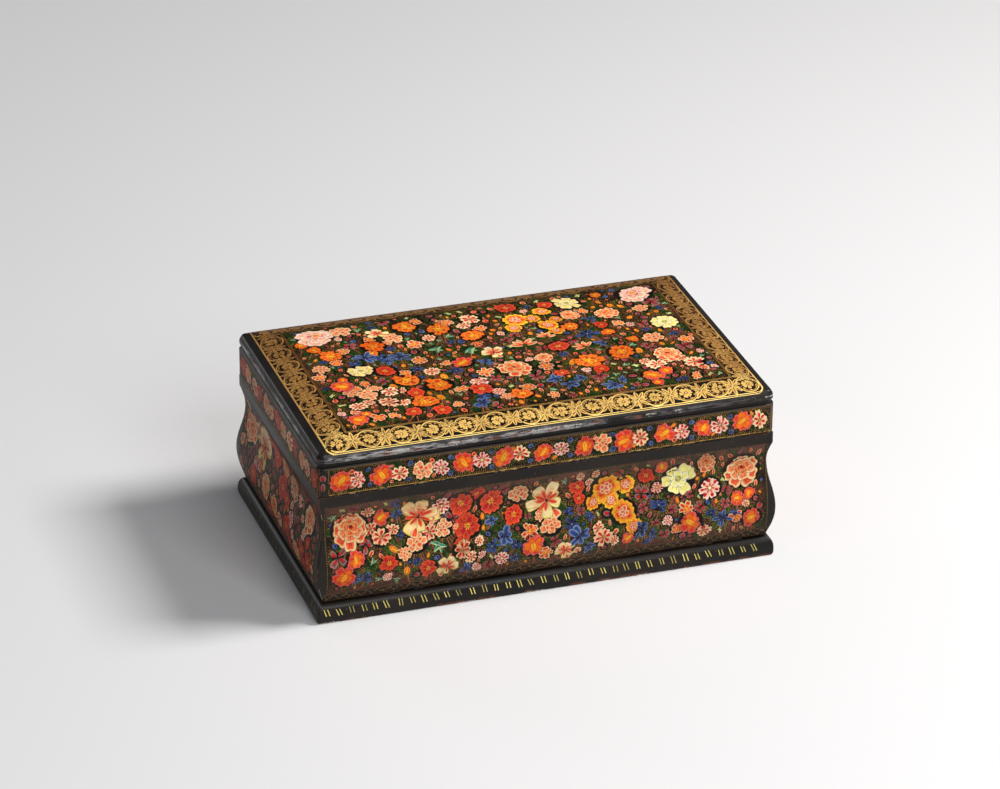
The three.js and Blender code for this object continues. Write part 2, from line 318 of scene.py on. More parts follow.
def sideShell(name, side, outline, radius, arrises, insideFrom, body, materials, node, wear=0.8):
    # The outline [reach, height] runs along the side. At each end its outer face turns by an arc of the
    # corner radius, as far as the mitre, and its inner face is mitred sharp.
    reach, height = outline[:, 0, None], outline[:, 1, None]
    arc = np.where(np.arange(len(outline)) < insideFrom, radius, 0)[:, None]
    half = sides[side]["length"] / 2 + reach - arc
    ends = np.array([0, 0.4, 1, 2, 4, 8]) / 150
    straight = np.unique(np.concatenate([-1 + ends, np.linspace(-0.94, 0.94, 48), 1 - ends]))
    swing = np.linspace(0, math.pi / 4, 5)[1:]
    share = np.concatenate([-np.ones(4), straight, np.ones(4)])[None]
    turn = np.concatenate([-swing[::-1], np.zeros(len(straight)), swing])[None]
    gap = jointGap / math.sqrt(2) * np.where(np.abs(turn) > 0.99 * swing[-1], np.sign(turn), 0)
    sharp = np.where(turn == 0, 0.97 * share, np.sign(turn) * (0.97 + 0.03 * np.abs(turn) / swing[-1]))
    along = np.where(arc > 0, share, sharp) * half + arc * np.sin(turn) - gap
    out = sides[side]["width"] / 2 + reach - arc * (1 - np.cos(turn))
    points = onSide(side, along, out, height + 0 * along).reshape(-1, 3)
    rows, columns = along.shape
    quads = gridQuads(rows, columns, closed=True)
    first = np.arange(rows) * columns
    caps = [first.tolist(), (first + columns - 1)[::-1].tolist()]
    worn = closeness(outline, arrises, wear)[:, None]
    cornerGap = (1 - np.abs(share)) * half + radius * (swing[-1] - np.abs(turn))
    worn = np.maximum(worn, np.exp(-cornerGap / 0.9))
    turned = np.concatenate([np.repeat(np.arange(rows) >= insideFrom, columns - 1), [True, True]])
    makePiece(name, points, quads, body, materials, polygons=caps, inside=turned,
              values={"edge": worn.ravel()}, replaced=(node,))


# Lacquer and wood finishes
# The pale grey laid along the ridge stands partly for scuffs and partly for a painted highlight.
lacquer = dict(black=(0.0060, 0.0050, 0.0045, 1), blackCloud=(0.014, 0.010, 0.008, 1),
               brown=(0.0085, 0.0064, 0.0048, 1), brownCloud=(0.017, 0.012, 0.008, 1),
               bareWood=(0.13, 0.045, 0.022, 1), dustAndSheen=(0.16, 0.15, 0.14, 1),
               scuffsAndSheen=(0.34, 0.33, 0.33, 1), chipped=(0.44, 0.41, 0.37, 1), specular=0.16, coat=0.16,
               coatRoughness=0.16, coatIndex=1.35)


def lacquerFinish(name, ground, wornWood, roughness=0.36, scuffsAndSheen=False):
    # Near-black lacquer: clouded, finely crazed, rubbed to red-brown wood, with pale scuffs at arrises.
    # Where asked, pale streaks run along the edge: partly scuffs, partly a painted highlight.
    finish = Finish(name)
    edge = finish.attribute("edge", "Fac")
    cloud = finish.noise(38, 2.0)
    grit = finish.noise(1.1, 3.0, roughness=0.65)
    patch = finish.noise(11, 3.0).between(0.42, 0.62)
    streak = finish.noise(17, 4.0).between(0.46, 0.6)
    rubbedFrom = 0.80 - 0.3 * wornWood
    rubbed = (edge * (0.25 + patch) * (0.5 + grit)).between(rubbedFrom, rubbedFrom + 0.25)
    chipped = (edge * streak * (0.45 + grit)).between(0.72, 0.82)
    dustAndSheen = finish.noise(1.7, 1.0).between(0.74, 0.79)
    colour = finish.mix(cloud.between(0.35, 0.7), lacquer[ground], lacquer[ground + "Cloud"])
    colour = finish.mix(rubbed * 0.85, colour, lacquer["bareWood"])
    colour = finish.mix(dustAndSheen * 0.5, colour, lacquer["dustAndSheen"])
    if scuffsAndSheen:
        # pale streaks that run along the edge, strongest in some lengths of it: partly scuffs, partly a
        # painted highlight where the arris catches the light
        strokes = finish.noise(1.5, 4.0, (0.16, 0.16, 1), 0.7).between(0.3, 0.7)
        length = finish.noise(60, 2.0).between(0.30, 0.52)
        brush = (edge * (0.2 + strokes) * (0.2 + length) * (0.4 + grit)).between(0.22, 0.95)
        colour = finish.mix(brush * finish.attribute("scuff", "Fac"), colour, lacquer["scuffsAndSheen"])
    finish.set("Base Color", finish.mix(chipped * 0.85, colour, lacquer["chipped"]))
    finish.set("Roughness", roughness + 0.16 * cloud + 0.10 * grit + 0.25 * rubbed)
    finish.set("Specular IOR Level", lacquer["specular"])
    finish.set("Coat Weight", lacquer["coat"] - 0.15 * rubbed)
    finish.set("Coat Roughness", lacquer["coatRoughness"])
    finish.set("Coat IOR", lacquer["coatIndex"])
    crazing = finish.cracks(2.6).between(0.0, 0.05)
    finish.bump(finish.noise(14, 2.0) * 0.7 + grit * 0.10 + crazing * 0.12 - rubbed * 0.25, 0.22, 0.7)
    return finish.material


def insideFinish(name):
    # Plain dark red-brown lacquer on the inside faces, brushed along X
    finish = Finish(name)
    brush = finish.noise(2.4, 4.0, (0.12, 1, 1), 0.6)
    cloud = finish.noise(30, 2.0)
    colour = finish.mix(brush, (0.030, 0.011, 0.007, 1), (0.062, 0.024, 0.014, 1))
    colour = finish.mix(cloud.between(0.45, 0.8) * 0.5, colour, (0.016, 0.008, 0.006, 1))
    finish.set("Base Color", colour)
    finish.set("Roughness", 0.42 + 0.2 * cloud)
    finish.bump(brush, 0.05, 0.6)
    return finish.material


def woodFinish(name):
    # Stained close-grained wood: rings stretched along X, with fine pores
    finish = Finish(name)
    grain = finish.noise(3.2, 5.0, (0.06, 1, 1), 0.62)
    pores = finish.noise(0.7, 2.0, (0.05, 1, 1))
    colour = finish.mix(grain.between(0.3, 0.72), (0.050, 0.020, 0.010, 1), (0.150, 0.068, 0.032, 1))
    colour = finish.mix(pores.between(0.62, 0.75) * 0.6, colour, (0.022, 0.010, 0.006, 1))
    finish.set("Base Color", colour)
    finish.set("Roughness", 0.5 + 0.15 * grain)
    finish.bump(grain * 0.6 - pores.between(0.6, 0.8) * 0.4, 0.06, 0.7)
    return finish.material


def brassFinish(name):
    # Old brass: yellow metal under a patchy brown skin
    finish = Finish(name)
    skin = finish.noise(3.0, 4.0, roughness=0.6)
    spots = finish.noise(0.6, 2.0)
    colour = finish.mix(skin.between(0.35, 0.7), (0.56, 0.37, 0.13, 1), (0.22, 0.13, 0.055, 1))
    finish.set("Base Color", finish.mix(spots.between(0.6, 0.75) * 0.5, colour, (0.08, 0.05, 0.03, 1)))
    finish.set("Metallic", 1 - 0.35 * skin.between(0.5, 0.8))
    finish.set("Roughness", 0.28 + 0.25 * skin)
    finish.bump(skin + spots * 0.3, 0.05, 0.5)
    return finish.material


jointGap = 0.08  # hairline left at a mitre
ridgeLacquer = lacquerFinish("ridgeLacquer", "black", wornWood=0.4, roughness=0.3, scuffsAndSheen=True)
blackLacquer = lacquerFinish("blackLacquer", "black", wornWood=1.0)
groundLacquer = lacquerFinish("groundLacquer", "brown", wornWood=0.35)
insideLacquer = insideFinish("insideLacquer")
stainedWood = woodFinish("stainedWood")
agedBrass = brassFinish("agedBrass")
print("finishes made")


# Body walls: an ogee from the foot, out over the belly, in at the neck and out to a straight band
wall = dict(thickness=9.5, footReach=-3.1, bellyReach=2, bellyHeight=34.5, neckReach=-3.3,
            neckHeight=68, bandReach=-0.4, bandHeight=81, footSwing=math.radians(80), arris=0.6,
            corner=1.3)


def wallReach(height):
    # foot to belly by a cosine swing, belly to neck by half a cosine, neck to band by a quarter cosine
    swing = wall["footSwing"]
    low = (wall["bellyHeight"] - height) / (wall["bellyHeight"] - wallFoot)
    under = wall["bellyReach"] - (wall["bellyReach"] - wall["footReach"]) * (
        1 - np.cos(np.clip(low, 0, 1) * swing)) / (1 - math.cos(swing))
    middle = (height - wall["bellyHeight"]) / (wall["neckHeight"] - wall["bellyHeight"])
    over = wall["bellyReach"] + (wall["neckReach"] - wall["bellyReach"]) * (
        1 - np.cos(middle * math.pi)) / 2
    high = np.clip((height - wall["neckHeight"]) / (wall["bandHeight"] - wall["neckHeight"]), 0, 1)
    top = wall["neckReach"] + (wall["bandReach"] - wall["neckReach"]) * (1 - np.cos(high * math.pi / 2))
    over = np.where(height < wall["neckHeight"], over, top)
    return np.where(height < wall["bellyHeight"], under, over)


def easedTop(top, radius, steps=5):
    # inset and height of a quarter round at an upper arris
    angle = np.linspace(0, math.pi / 2, steps)
    return radius * (1 - np.cos(angle)), top - radius * (1 - np.sin(angle))


def wallOutline():
    inset, edge = easedTop(wallTop, wall["arris"])
    heights = np.concatenate([np.linspace(wallFoot, wall["bandHeight"], 70)[:-1],
                              np.linspace(wall["bandHeight"], wallTop - wall["arris"], 9)[:-1]])
    outer = np.stack([wallReach(heights), heights], 1)
    eased = np.stack([wall["bandReach"] - inset, edge], 1)
    inner = [[-wall["thickness"], height] for height in (wallTop, (wallTop + wallFoot) / 2, wallFoot)]
    return np.concatenate([outer, eased, inner]), len(outer) + len(eased)


def makeWalls():
    outline, insideFrom = wallOutline()
    arrises = [(wall["bandReach"], wallTop), (wall["footReach"], wallFoot)]
    for side in sides:
        sideShell(f"wall_{side}", side, outline, wall["corner"], arrises, insideFrom, "body",
                  [groundLacquer, insideLacquer], f"body_wall_{side}")


# Plinth: a rounded moulding whose top rolls in under the wall
plinth = dict(thickness=9.5, reach=1.7, toe=1.1, bulge=5, shelf=-2.6, corner=1.2, wear=2.6)


def plinthReach(height):
    # a quarter ellipse above the bulge
    rise = np.clip((height - plinth["bulge"]) / (plinthTop - plinth["bulge"]), 0, 1)
    return plinth["shelf"] + (plinth["reach"] - plinth["shelf"]) * np.sqrt(1 - rise ** 2)


def makePlinths():
    angle = np.linspace(0, math.pi / 2, 15)
    rolled = np.stack([plinth["shelf"] + (plinth["reach"] - plinth["shelf"]) * np.cos(angle),
                       plinth["bulge"] + (plinthTop - plinth["bulge"]) * np.sin(angle)], 1)
    toe = [[plinth["toe"] - 0.5, 0], [plinth["toe"], 0.35], [plinth["reach"] - 0.25, 1.2],
           [plinth["reach"] - 0.04, 2.4]]
    inner = [[-plinth["thickness"], plinthTop], [-plinth["thickness"], 0]]
    outline = np.concatenate([toe, rolled, inner])
    for side in sides:
        sideShell(f"plinth_moulding_{side}", side, outline, plinth["corner"], [(plinth["toe"], 0.2)],
                  len(outline) - 2, "body", [blackLacquer, stainedWood],
                  f"plinth_{side}", plinth["wear"])


# Lid rails: upright boards with rounded corners
rail = dict(thickness=9.0, corner=5, arris=0.5)


def makeRails():
    angle = np.linspace(0, math.pi / 2, 5)
    foot = np.stack([-rail["arris"] * (1 - np.sin(angle)),
                     railFoot + rail["arris"] * (1 - np.cos(angle))], 1)
    face = np.stack([np.zeros(8), np.linspace(railFoot + rail["arris"], railTop, 9)[1:]], 1)
    inner = [[-rail["thickness"], railTop], [-rail["thickness"], railFoot]]
    outline = np.concatenate([foot, face, inner])
    for side in sides:
        sideShell(f"rail_{side}", side, outline, rail["corner"], [(0, railFoot)],
                  len(outline) - 2, "lid", [groundLacquer, insideLacquer],
                  f"lid_rail_{side}")


# Lid panel: a board whose edge has a set-back cove and an upright ridge, under a bevel and a low crown
panel = dict(coveReach=-1.5, coveHeight=2.4, ridgeReach=-0.2, ridgeHeight=2.85, bevelWidth=2.2,
             crownWidth=34, crownRise=6.5, corner=5, ease=8.0, wear=1.7,
             scuffPlaces=(-150, -20, 70, 130), frontScuffsAndSheen=(1, 0.95, 0.35, 0.12), leftScuffAndSheen=0.7,
             otherScuffAndSheen=0.4)
ridgeFoot = panelFoot + panel["coveHeight"] + (panel["ridgeReach"] - panel["coveReach"]) / 2
ridgeTop = ridgeFoot + panel["ridgeHeight"]


def riseAt(inwards):
    # height above the ridge: a quarter sine over the bevel plus a parabola over the crown
    bevel = np.sin(np.clip(inwards / panel["bevelWidth"], 0, 1) * math.pi / 2)
    crown = 1 - (1 - np.clip(inwards / panel["crownWidth"], 0, 1)) ** 2
    return (lidTop - panel["crownRise"] - ridgeTop) * bevel + panel["crownRise"] * crown


def crownHeight(x, y):
    # The rise goes by the distance in from the ridge's rounded outline. Near a corner's diagonal the
    # distances from the two sides are blended, so that no crease shows.
    corner = panel["corner"] + panel["ridgeReach"]
    acrossX = np.abs(x) - (boxLength / 2 + panel["ridgeReach"] - corner)
    acrossY = np.abs(y) - (boxWidth / 2 + panel["ridgeReach"] - corner)
    outside = np.hypot(np.maximum(acrossX, 0), np.maximum(acrossY, 0))
    inside = np.maximum(-np.maximum(acrossX, acrossY), 0)
    ease = np.clip(inside, 1e-6, panel["ease"])
    blend = np.maximum(1 - np.abs(acrossX - acrossY) / ease, 0) ** 2 * ease / 4
    return ridgeTop + riseAt(corner - outside + inside - blend)


def panelOutline():
    # rings [reach, height]; those from the count given on follow the crown
    cove = [[panel["coveReach"] - 3.6, panelFoot], [panel["coveReach"], panelFoot]]
    cove += [[panel["coveReach"], panelFoot + share * panel["coveHeight"]]
             for share in (0.1, 0.35, 0.6, 0.85, 1)]
    lip = [[panel["ridgeReach"] - inset, height] for inset, height in (
        (0.5, ridgeFoot - 0.1), (0.15, ridgeFoot + 0.2), (0, ridgeFoot + 0.8), (0, ridgeTop - 0.8),
        (0.06, ridgeTop - 0.2))]
    inwards = np.concatenate([np.linspace(0.12, panel["bevelWidth"], 9),
                              np.arange(3.0, panel["crownWidth"], 1.5),
                              panel["crownWidth"] + np.array([0, 3])])
    crown = np.stack([panel["ridgeReach"] - inwards, ridgeTop + riseAt(inwards)], 1)
    return np.concatenate([cove, lip, crown]), len(cove) + len(lip)


def roundedRing(reach, corner, spacing=4.0):
    # a rounded rectangle offset outwards by reach, in steps of about spacing, finer at the ends
    halfX, halfY, radius = boxLength / 2 + reach, boxWidth / 2 + reach, max(corner + reach, 0.3)
    near = np.array([0.7, 1.5, 2.5, 3.5, 5, 6.5, 8, 10, 12])
    steps = [int(boxWidth / spacing), int(boxLength / spacing)]
    corners = [(1, -1, -90), (1, 1, 0), (-1, 1, 90), (-1, -1, 180)]
    pieces = []
    for index, (signX, signY, start) in enumerate(corners):
        angle = np.radians(start + np.linspace(0, 90, 9))
        arc = np.stack([signX * (halfX - radius) + radius * np.cos(angle),
                        signY * (halfY - radius) + radius * np.sin(angle)], 1)
        pieces.append(arc)
        nextX, nextY, _ = corners[(index + 1) % 4]
        goal = np.array([nextX * (halfX - radius * (nextX != signX)),
                         nextY * (halfY - radius * (nextY != signY))])
        run = np.linalg.norm(goal - arc[-1])
        along = np.concatenate([near, np.linspace(15, run - 15, steps[index % 2]), run - near[::-1]])
        pieces.append(arc[-1] + along[:, None] / run * (goal - arc[-1]))
    return np.concatenate(pieces)


def makePanel():
    outline, crownFrom = panelOutline()
    rings = np.stack([roundedRing(reach, panel["corner"]) for reach in outline[:, 0]])
    around = rings.shape[1]
    heights = np.broadcast_to(outline[:, 1, None, None], (*rings.shape[:2], 1)).copy()
    heights[crownFrom:, :, 0] = crownHeight(rings[crownFrom:, :, 0], rings[crownFrom:, :, 1])
    points = np.concatenate([rings, heights], 2).reshape(-1, 3) * mm
    grid = np.arange(len(outline) * around).reshape(len(outline), around)
    joined = np.concatenate([grid, grid[:, :1]], 1)
    quads = np.stack([joined[:-1, :-1], joined[:-1, 1:], joined[1:, 1:], joined[1:, :-1]], -1)
    quads = quads.reshape(-1, 4)
    caps = [grid[0][::-1].tolist(), grid[-1].tolist()]
    arrises = [(panel["ridgeReach"], ridgeTop - 0.3), (panel["ridgeReach"], ridgeFoot + 0.3)]
    worn = np.repeat(closeness(outline, arrises, panel["wear"]), around)
    inside = np.zeros(len(quads) + 2)
    inside[len(quads)] = 1
    # pale streaks on the ridge, partly scuffs and partly a painted highlight: most on the front's left
    # two thirds
    place = points / mm
    front = place[:, 1] < -boxWidth / 2 + 12
    scuff = np.interp(place[:, 0], panel["scuffPlaces"], panel["frontScuffsAndSheen"])
    scuff = np.where(front, scuff, panel["otherScuffAndSheen"])
    scuff = np.where(place[:, 0] < 5 - boxLength / 2, panel["leftScuffAndSheen"], scuff)
    makePiece("lid_panel", points, quads, "lid", [ridgeLacquer, insideLacquer],
              polygons=caps, inside=inside, values={"edge": worn, "scuff": scuff},
              replaced=("lid_top_panel",))


makeWalls()
makePlinths()
makeRails()
makePanel()
print("lacquered shells made")


# Carried-over pieces keep their meshes and take their finish
def finishNodes():
    for name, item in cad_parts.items():
        if name.startswith("hinge_"):
            material = agedBrass
        elif name.startswith("lip_strip_") or name == "bottom_board":
            material = stainedWood
        else:
            continue
        for slot in item.material_slots:
            slot.material = material


finishNodes()


# Painting. A sheet has s along the surface and t up it, in millimetres. A dab is one stroke of a
# loaded brush: a petal, leaf, bud or spot. A line is a thin stroke. Both are thin films that lie on
# the lacquer. Each grid gives the steps along a dab and the places across it, from -1 to 1.
painting = dict(film=0.06, step=0.004, margin=0.12, outline=0.16, outlineTint=(0.24, 0.17, 0.17),
                dabSpread=0.06, pointSpread=0.08, lineSpread=0.14, ribbonSpread=0.1, wash=-0.03,
                washSpacing=2.0, clouds=((22, 0.5), (7, 0.35), (2.0, 0.3)), gilt=0.3, specular=0.09,
                coat=0.06)
dabGrids = dict(outlined=(7, (-1, -0.84, -0.42, 0, 0.42, 0.84, 1)), fine=(6, (-1, -0.5, 0, 0.5, 1)),
                coarse=(4, (-1, 0, 1)), wide=(14, tuple(np.linspace(-1, 1, 9))))
lineSteps = dict(fine=8, coarse=3)
dabRest = dict(x=0.0, y=0.0, turn=0.0, length=1.0, width=1.0, baseRound=1.0, tipRound=1.0, skew=0.0,
               bend=0.0, notch=0.0, lift=0.0, gilt=0.0, rim=0.25, half=0.0, fade=0.5, tone=1.0, warm=0.0)
lineRest = dict(x=0.0, y=0.0, turn=0.0, length=1.0, width=0.3, curl=0.0, coil=1.0, taper=0.8, lift=0.0,
                gilt=0.0, tone=1.0)


class Painting:
    def __init__(self, seed, area, age=None):
        self.random = np.random.default_rng(seed)
        self.low, self.high = np.array(area[0], float), np.array(area[1], float)
        self.dabs = {grid: [] for grid in dabGrids}
        self.lines = {grid: [] for grid in lineSteps}
        self.bands = []
        self.age = age

    def dab(self, grid="fine", base="black", middle=None, edge=None, other=None, **values):
        row = self.rows(dabRest, values)
        names = [base, middle or base, edge or middle or base, other or middle or base]
        colours = np.broadcast_to([palette[name] for name in names], (len(row["x"]), 4, 3))
        self.dabs[grid].append((row, colours))

    def line(self, grid="coarse", colour="oldGold", **values):
        row = self.rows(lineRest, values)
        self.lines[grid].append((row, np.broadcast_to(palette[colour], (len(row["x"]), 3))))

    def ribbon(self, points, width, colour, lift=0.0, gilt=0.0, tone=1.0):
        # a line through the given points, of one width or of a width at each
        ahead = np.gradient(points, axis=0)
        ahead /= np.linalg.norm(ahead, axis=1, keepdims=True)
        width, tone = [np.broadcast_to(value, len(points)) for value in (width, tone)]
        across = np.stack([-ahead[:, 1], ahead[:, 0]], 1) * width[:, None] / 2
        grid = np.stack([points - across, points + across], 1)
        shade = self.random.normal(1, painting["ribbonSpread"], (*grid.shape[:2], 1))
        self.bands.append((grid, palette[colour] * (tone[:, None, None] * shade), lift, gilt))

    def giltHairs(self, **values):
        self.line(gilt=painting["gilt"], **values)

    def giltLine(self, x, y, width, colour, tone=1.0, lift=0.02):
        self.ribbon(np.stack(np.broadcast_arrays(x, y), 1), width, colour, lift, painting["gilt"], tone)

    def wash(self, colours):
        # a cloudy film over the whole area, between two colours; rows of colours run up the sheet
        count = np.maximum(((self.high - self.low) / painting["washSpacing"]).astype(int), 2)
        s, t = [np.linspace(self.low[k], self.high[k], count[k] + 1) for k in range(2)]
        grid = np.stack(np.meshgrid(s, t, indexing="ij"), -1)
        cloud = 0
        for lump, share in painting["clouds"]:
            knots = [np.arange(self.low[k] - lump, self.high[k] + 2 * lump, lump) for k in range(2)]
            values = self.random.uniform(0, share, (len(knots[0]), len(knots[1])))
            across = np.stack([np.interp(s, knots[0], column) for column in values.T], 1)
            cloud = cloud + np.stack([np.interp(t, knots[1], row) for row in across])
        up = np.linspace(0, 1, len(colours))
        first, second = [np.stack([np.interp((t - t[0]) / (t[-1] - t[0]), up,
                                             [palette[pair[which]][k] for pair in colours])
                                   for k in range(3)], -1) for which in range(2)]
        colour = first + (second - first) * np.clip(cloud, 0, 1)[..., None]
        self.bands.append((grid, colour, painting["wash"], 0.0))

    def rows(self, rest, values):
        given = {key: np.atleast_1d(np.asarray(value, float)) for key, value in values.items()}
        count = max([len(value) for value in given.values()] + [1])
        return {key: np.broadcast_to(given.get(key, value), (count,)) for key, value in rest.items()}

    def gathered(self, rows):
        values = {key: np.concatenate([row[key] for row, _ in rows]) for key in rows[0][0]}
        return values, np.concatenate([colours for _, colours in rows])

    def drawnDabs(self, rows, steps, places):
        # Along the dab u runs 0 to 1, and across it v runs -1 to 1. The half width is sin(angle) to the
        # power of the roundness, with u = (1 - cos(angle)) / 2: 1 is an ellipse, less is blunter.
        values, colours = self.gathered(rows)
        value = {key: item[:, None, None] for key, item in values.items()}
        margin = painting["margin"]
        angle = np.linspace(margin, math.pi - margin, steps + 1)[None, :, None]
        v = np.array(places, float)[None, None, :]
        u = (1 - np.cos(angle)) / 2
        roundness = value["baseRound"] + (value["tipRound"] - value["baseRound"]) * u
        half = value["width"] / 2 * np.sin(angle) ** roundness * (1 + value["skew"] * (2 * u - 1))
        along = value["length"] * (u - value["notch"] * u ** 6 * (1 - v ** 2))
        across = half * v + value["bend"] * value["length"] * (u - 0.5) ** 2 * 2
        x = value["x"] + along * np.cos(value["turn"]) - across * np.sin(value["turn"])
        y = value["y"] + along * np.sin(value["turn"]) + across * np.cos(value["turn"])
        outlined = places == dabGrids["outlined"][1]
        inset = painting["outline"] if outlined else 0.02
        outer = np.maximum(np.abs(v), 2 * u - 1)
        rim = np.clip((outer - 1 + inset + value["rim"]) / value["rim"], 0, 1)
        rise = np.clip(u / value["fade"], 0, 1) + 0 * v
        base, middle, edge, other = [colours[:, None, None, k] for k in range(4)]
        colour = base + (middle - base) * rise[..., None]
        colour = colour + (edge - colour) * rim[..., None]
        colour = colour + (other - colour) * (value["half"] * (v > 0.1))[..., None]
        shade = self.random.normal(1, painting["dabSpread"], (len(x), 1, 1, 1))
        shade = shade * self.random.normal(1, painting["pointSpread"], (*x.shape, 1))
        if outlined:
            # a thin dark line of the petal's own base colour runs all round it
            line = (outer > 0.985) * 0.9
            colour = colour + (base * painting["outlineTint"] - colour) * line[..., None]
        tint = np.concatenate([1 + 0 * value["warm"], 1 - value["warm"], 1 - 1.5 * value["warm"]], 2)
        colour = colour * shade * (value["tone"] * tint)[:, :, None]
        return self.patches(x, y, np.clip(colour, 0, 1), values)

    def drawnLines(self, rows, steps):
        # The heading turns by curl over the line's length, early or late as coil says
        values, colours = self.gathered(rows)
        share = (np.arange(steps) + 0.5) / steps
        heading = values["turn"][:, None] + values["curl"][:, None] * share ** values["coil"][:, None]
        step = values["length"][:, None] / steps
        x = np.cumsum(np.concatenate([values["x"][:, None], step * np.cos(heading)], 1), 1)
        y = np.cumsum(np.concatenate([values["y"][:, None], step * np.sin(heading)], 1), 1)
        heading = np.concatenate([heading[:, :1], heading], 1)
        place = np.linspace(0, 1, steps + 1)
        half = values["width"][:, None] / 2 * (1 - values["taper"][:, None] * place ** 2)
        x = np.stack([x + half * np.sin(heading), x - half * np.sin(heading)], 2)
        y = np.stack([y - half * np.cos(heading), y + half * np.cos(heading)], 2)
        shade = self.random.normal(1, painting["lineSpread"], (len(x), 1, 1, 1))
        shade = values["tone"][:, None, None, None] * shade
        colour = np.broadcast_to(colours[:, None, None], (*x.shape, 3)) * shade
        return self.patches(x, y, np.clip(colour, 0, 1), values)

    def patches(self, x, y, colour, values):
        count, rows, columns = x.shape
        quads = gridQuads(rows, columns)[:, [0, 3, 2, 1]]
        faces = quads[None] + (np.arange(count) * rows * columns)[:, None, None]
        spread = (count, rows * columns)
        lift = np.broadcast_to(values["lift"][:, None], spread)
        gilt = np.broadcast_to(values["gilt"][:, None], spread)
        return dict(place=np.stack([x.ravel(), y.ravel()], 1), colour=colour.reshape(-1, 3),
                    lift=lift.ravel(), gilt=gilt.ravel(), faces=faces.reshape(-1, 4))

    def drawn(self):
        parts = [self.drawnDabs(rows, *dabGrids[grid]) for grid, rows in self.dabs.items() if rows]
        parts += [self.drawnLines(rows, lineSteps[grid]) for grid, rows in self.lines.items() if rows]
        for grid, colour, lift, gilt in self.bands:
            x, y = grid[None, :, :, 0], grid[None, :, :, 1]
            values = dict(lift=np.array([lift]), gilt=np.array([gilt]))
            parts.append(self.patches(x, y, np.clip(colour, 0, 1)[None], values))
        starts = np.cumsum([0] + [len(part["lift"]) for part in parts])
        whole = {key: np.concatenate([part[key] for part in parts])
                 for key in ("place", "colour", "lift", "gilt")}
        faces = np.concatenate([part["faces"] + start for part, start in zip(parts, starts)])
        # strokes are cut off at the area's edge, and faces left with no area are dropped
        whole["place"] = np.clip(whole["place"], self.low, self.high)
        corners = whole["place"][faces]
        one, two = corners[:, 2] - corners[:, 0], corners[:, 3] - corners[:, 1]
        faces = faces[np.abs(one[:, 0] * two[:, 1] - one[:, 1] * two[:, 0]) > 1e-4]
        whole["faces"] = faces[np.argsort(whole["lift"][faces[:, 0]], kind="stable")]
        # painted light: the colours are changed by their place, as sheen, shade or highlight
        if self.age:
            whole["colour"] = np.clip(self.age(whole["place"], whole["colour"]), 0, 1)
        return whole

    def lay(self, name, surface, body):
        whole = self.drawn()
        places = whole["place"]
        points = surface(places[:, 0], places[:, 1], painting["film"] + whole["lift"])
        low, high = places.min(0), places.max(0)
        sheet = 0.01 + 0.98 * (places - low) / (high - low)
        makePiece(name, points, whole["faces"], body, [paintedFilm],
                  values={"gilt": whole["gilt"]}, colours={"paint": whole["colour"]}, places=sheet)
        print(name, len(whole["faces"]) * 2, "triangles")


def topSurface(s, t, lift):
    return np.stack([s, t, crownHeight(s, t) + lift], -1) * mm


def sideSurface(side, reachAt, radius):
    # s wraps round the corner's arc, and the film lifts along the slope of the profile
    def place(s, t, lift):
        reach = reachAt(t)
        slope = (reachAt(t + 0.05) - reachAt(t - 0.05)) / 0.1
        steep = np.sqrt(1 + slope ** 2)
        straight = sides[side]["length"] / 2 + reach - radius
        turn = np.clip((np.abs(s) - straight) / radius, 0, math.pi / 4)
        arc = radius + lift / steep
        along = np.sign(s) * (np.minimum(np.abs(s), straight) + arc * np.sin(turn))
        out = sides[side]["width"] / 2 + reach - radius + arc * np.cos(turn)
        return onSide(side, along, out, t - lift * slope / steep)
    return place


def paintFinish(name):
    # The film's own colour, a little mottled, under a thin clear varnish; gilt strokes are part metal
    finish = Finish(name)
    gilt = finish.attribute("gilt", "Fac")
    mottle = finish.noise(2.2, 3.0, roughness=0.6)
    cloud = finish.noise(26, 2.0)
    tone = (mottle * 0.5 + cloud * 0.6).between(0.1, 0.95)
    aged = finish.mix(tone, (0.72, 0.66, 0.60, 1), (1.0, 1.0, 1.0, 1))
    colour = finish.mix(1.0, finish.attribute("paint", "Color"), aged, "MULTIPLY")
    finish.set("Base Color", colour)
    finish.set("Metallic", 0.65 * gilt)
    finish.set("Roughness", 0.46 - 0.06 * gilt + 0.1 * mottle)
    finish.set("Specular IOR Level", painting["specular"])
    finish.set("Coat Weight", painting["coat"])
    finish.set("Coat Roughness", lacquer["coatRoughness"])
    finish.set("Coat IOR", lacquer["coatIndex"])
    finish.bump(finish.noise(14, 2.0) * 0.6 + mottle * 0.25, 0.16, 0.6)
    return finish.material


paintedFilm = paintFinish("paintedFilm")


# Flowers. Each is a list of rings of dabs round its heart. start, length and width are shares of the
# flower's radius, pitch turns a ring by a share of one petal, spread is the angle the ring fills and
# shift moves the ring's middle towards the flower's top.
def ring(count, start, length, width, base, middle=None, edge=None, pitch=0.0, spread=360, loose=0.1,
         flat=False, fine=True, plain=False, other=None, shift=0.0, **shape):
    colours = dict(base=base, middle=middle, edge=edge, other=other)
    return dict(count=count, start=start, length=length, width=width, colours=colours, pitch=pitch,
                spread=spread, loose=loose, flat=flat, fine=fine, plain=plain, shift=shift, shape=shape)


def flecks(*sizesAndColours, **rest):
    return ring(*sizesAndColours, flat=True, fine=False, **rest)


def dots(count, start, size, colour, **rest):
    return flecks(count, start, size, size, colour, **rest)


def streaks(count, start, length, colour, **rest):
    return flecks(count, start, length, 0.035, colour, **rest)


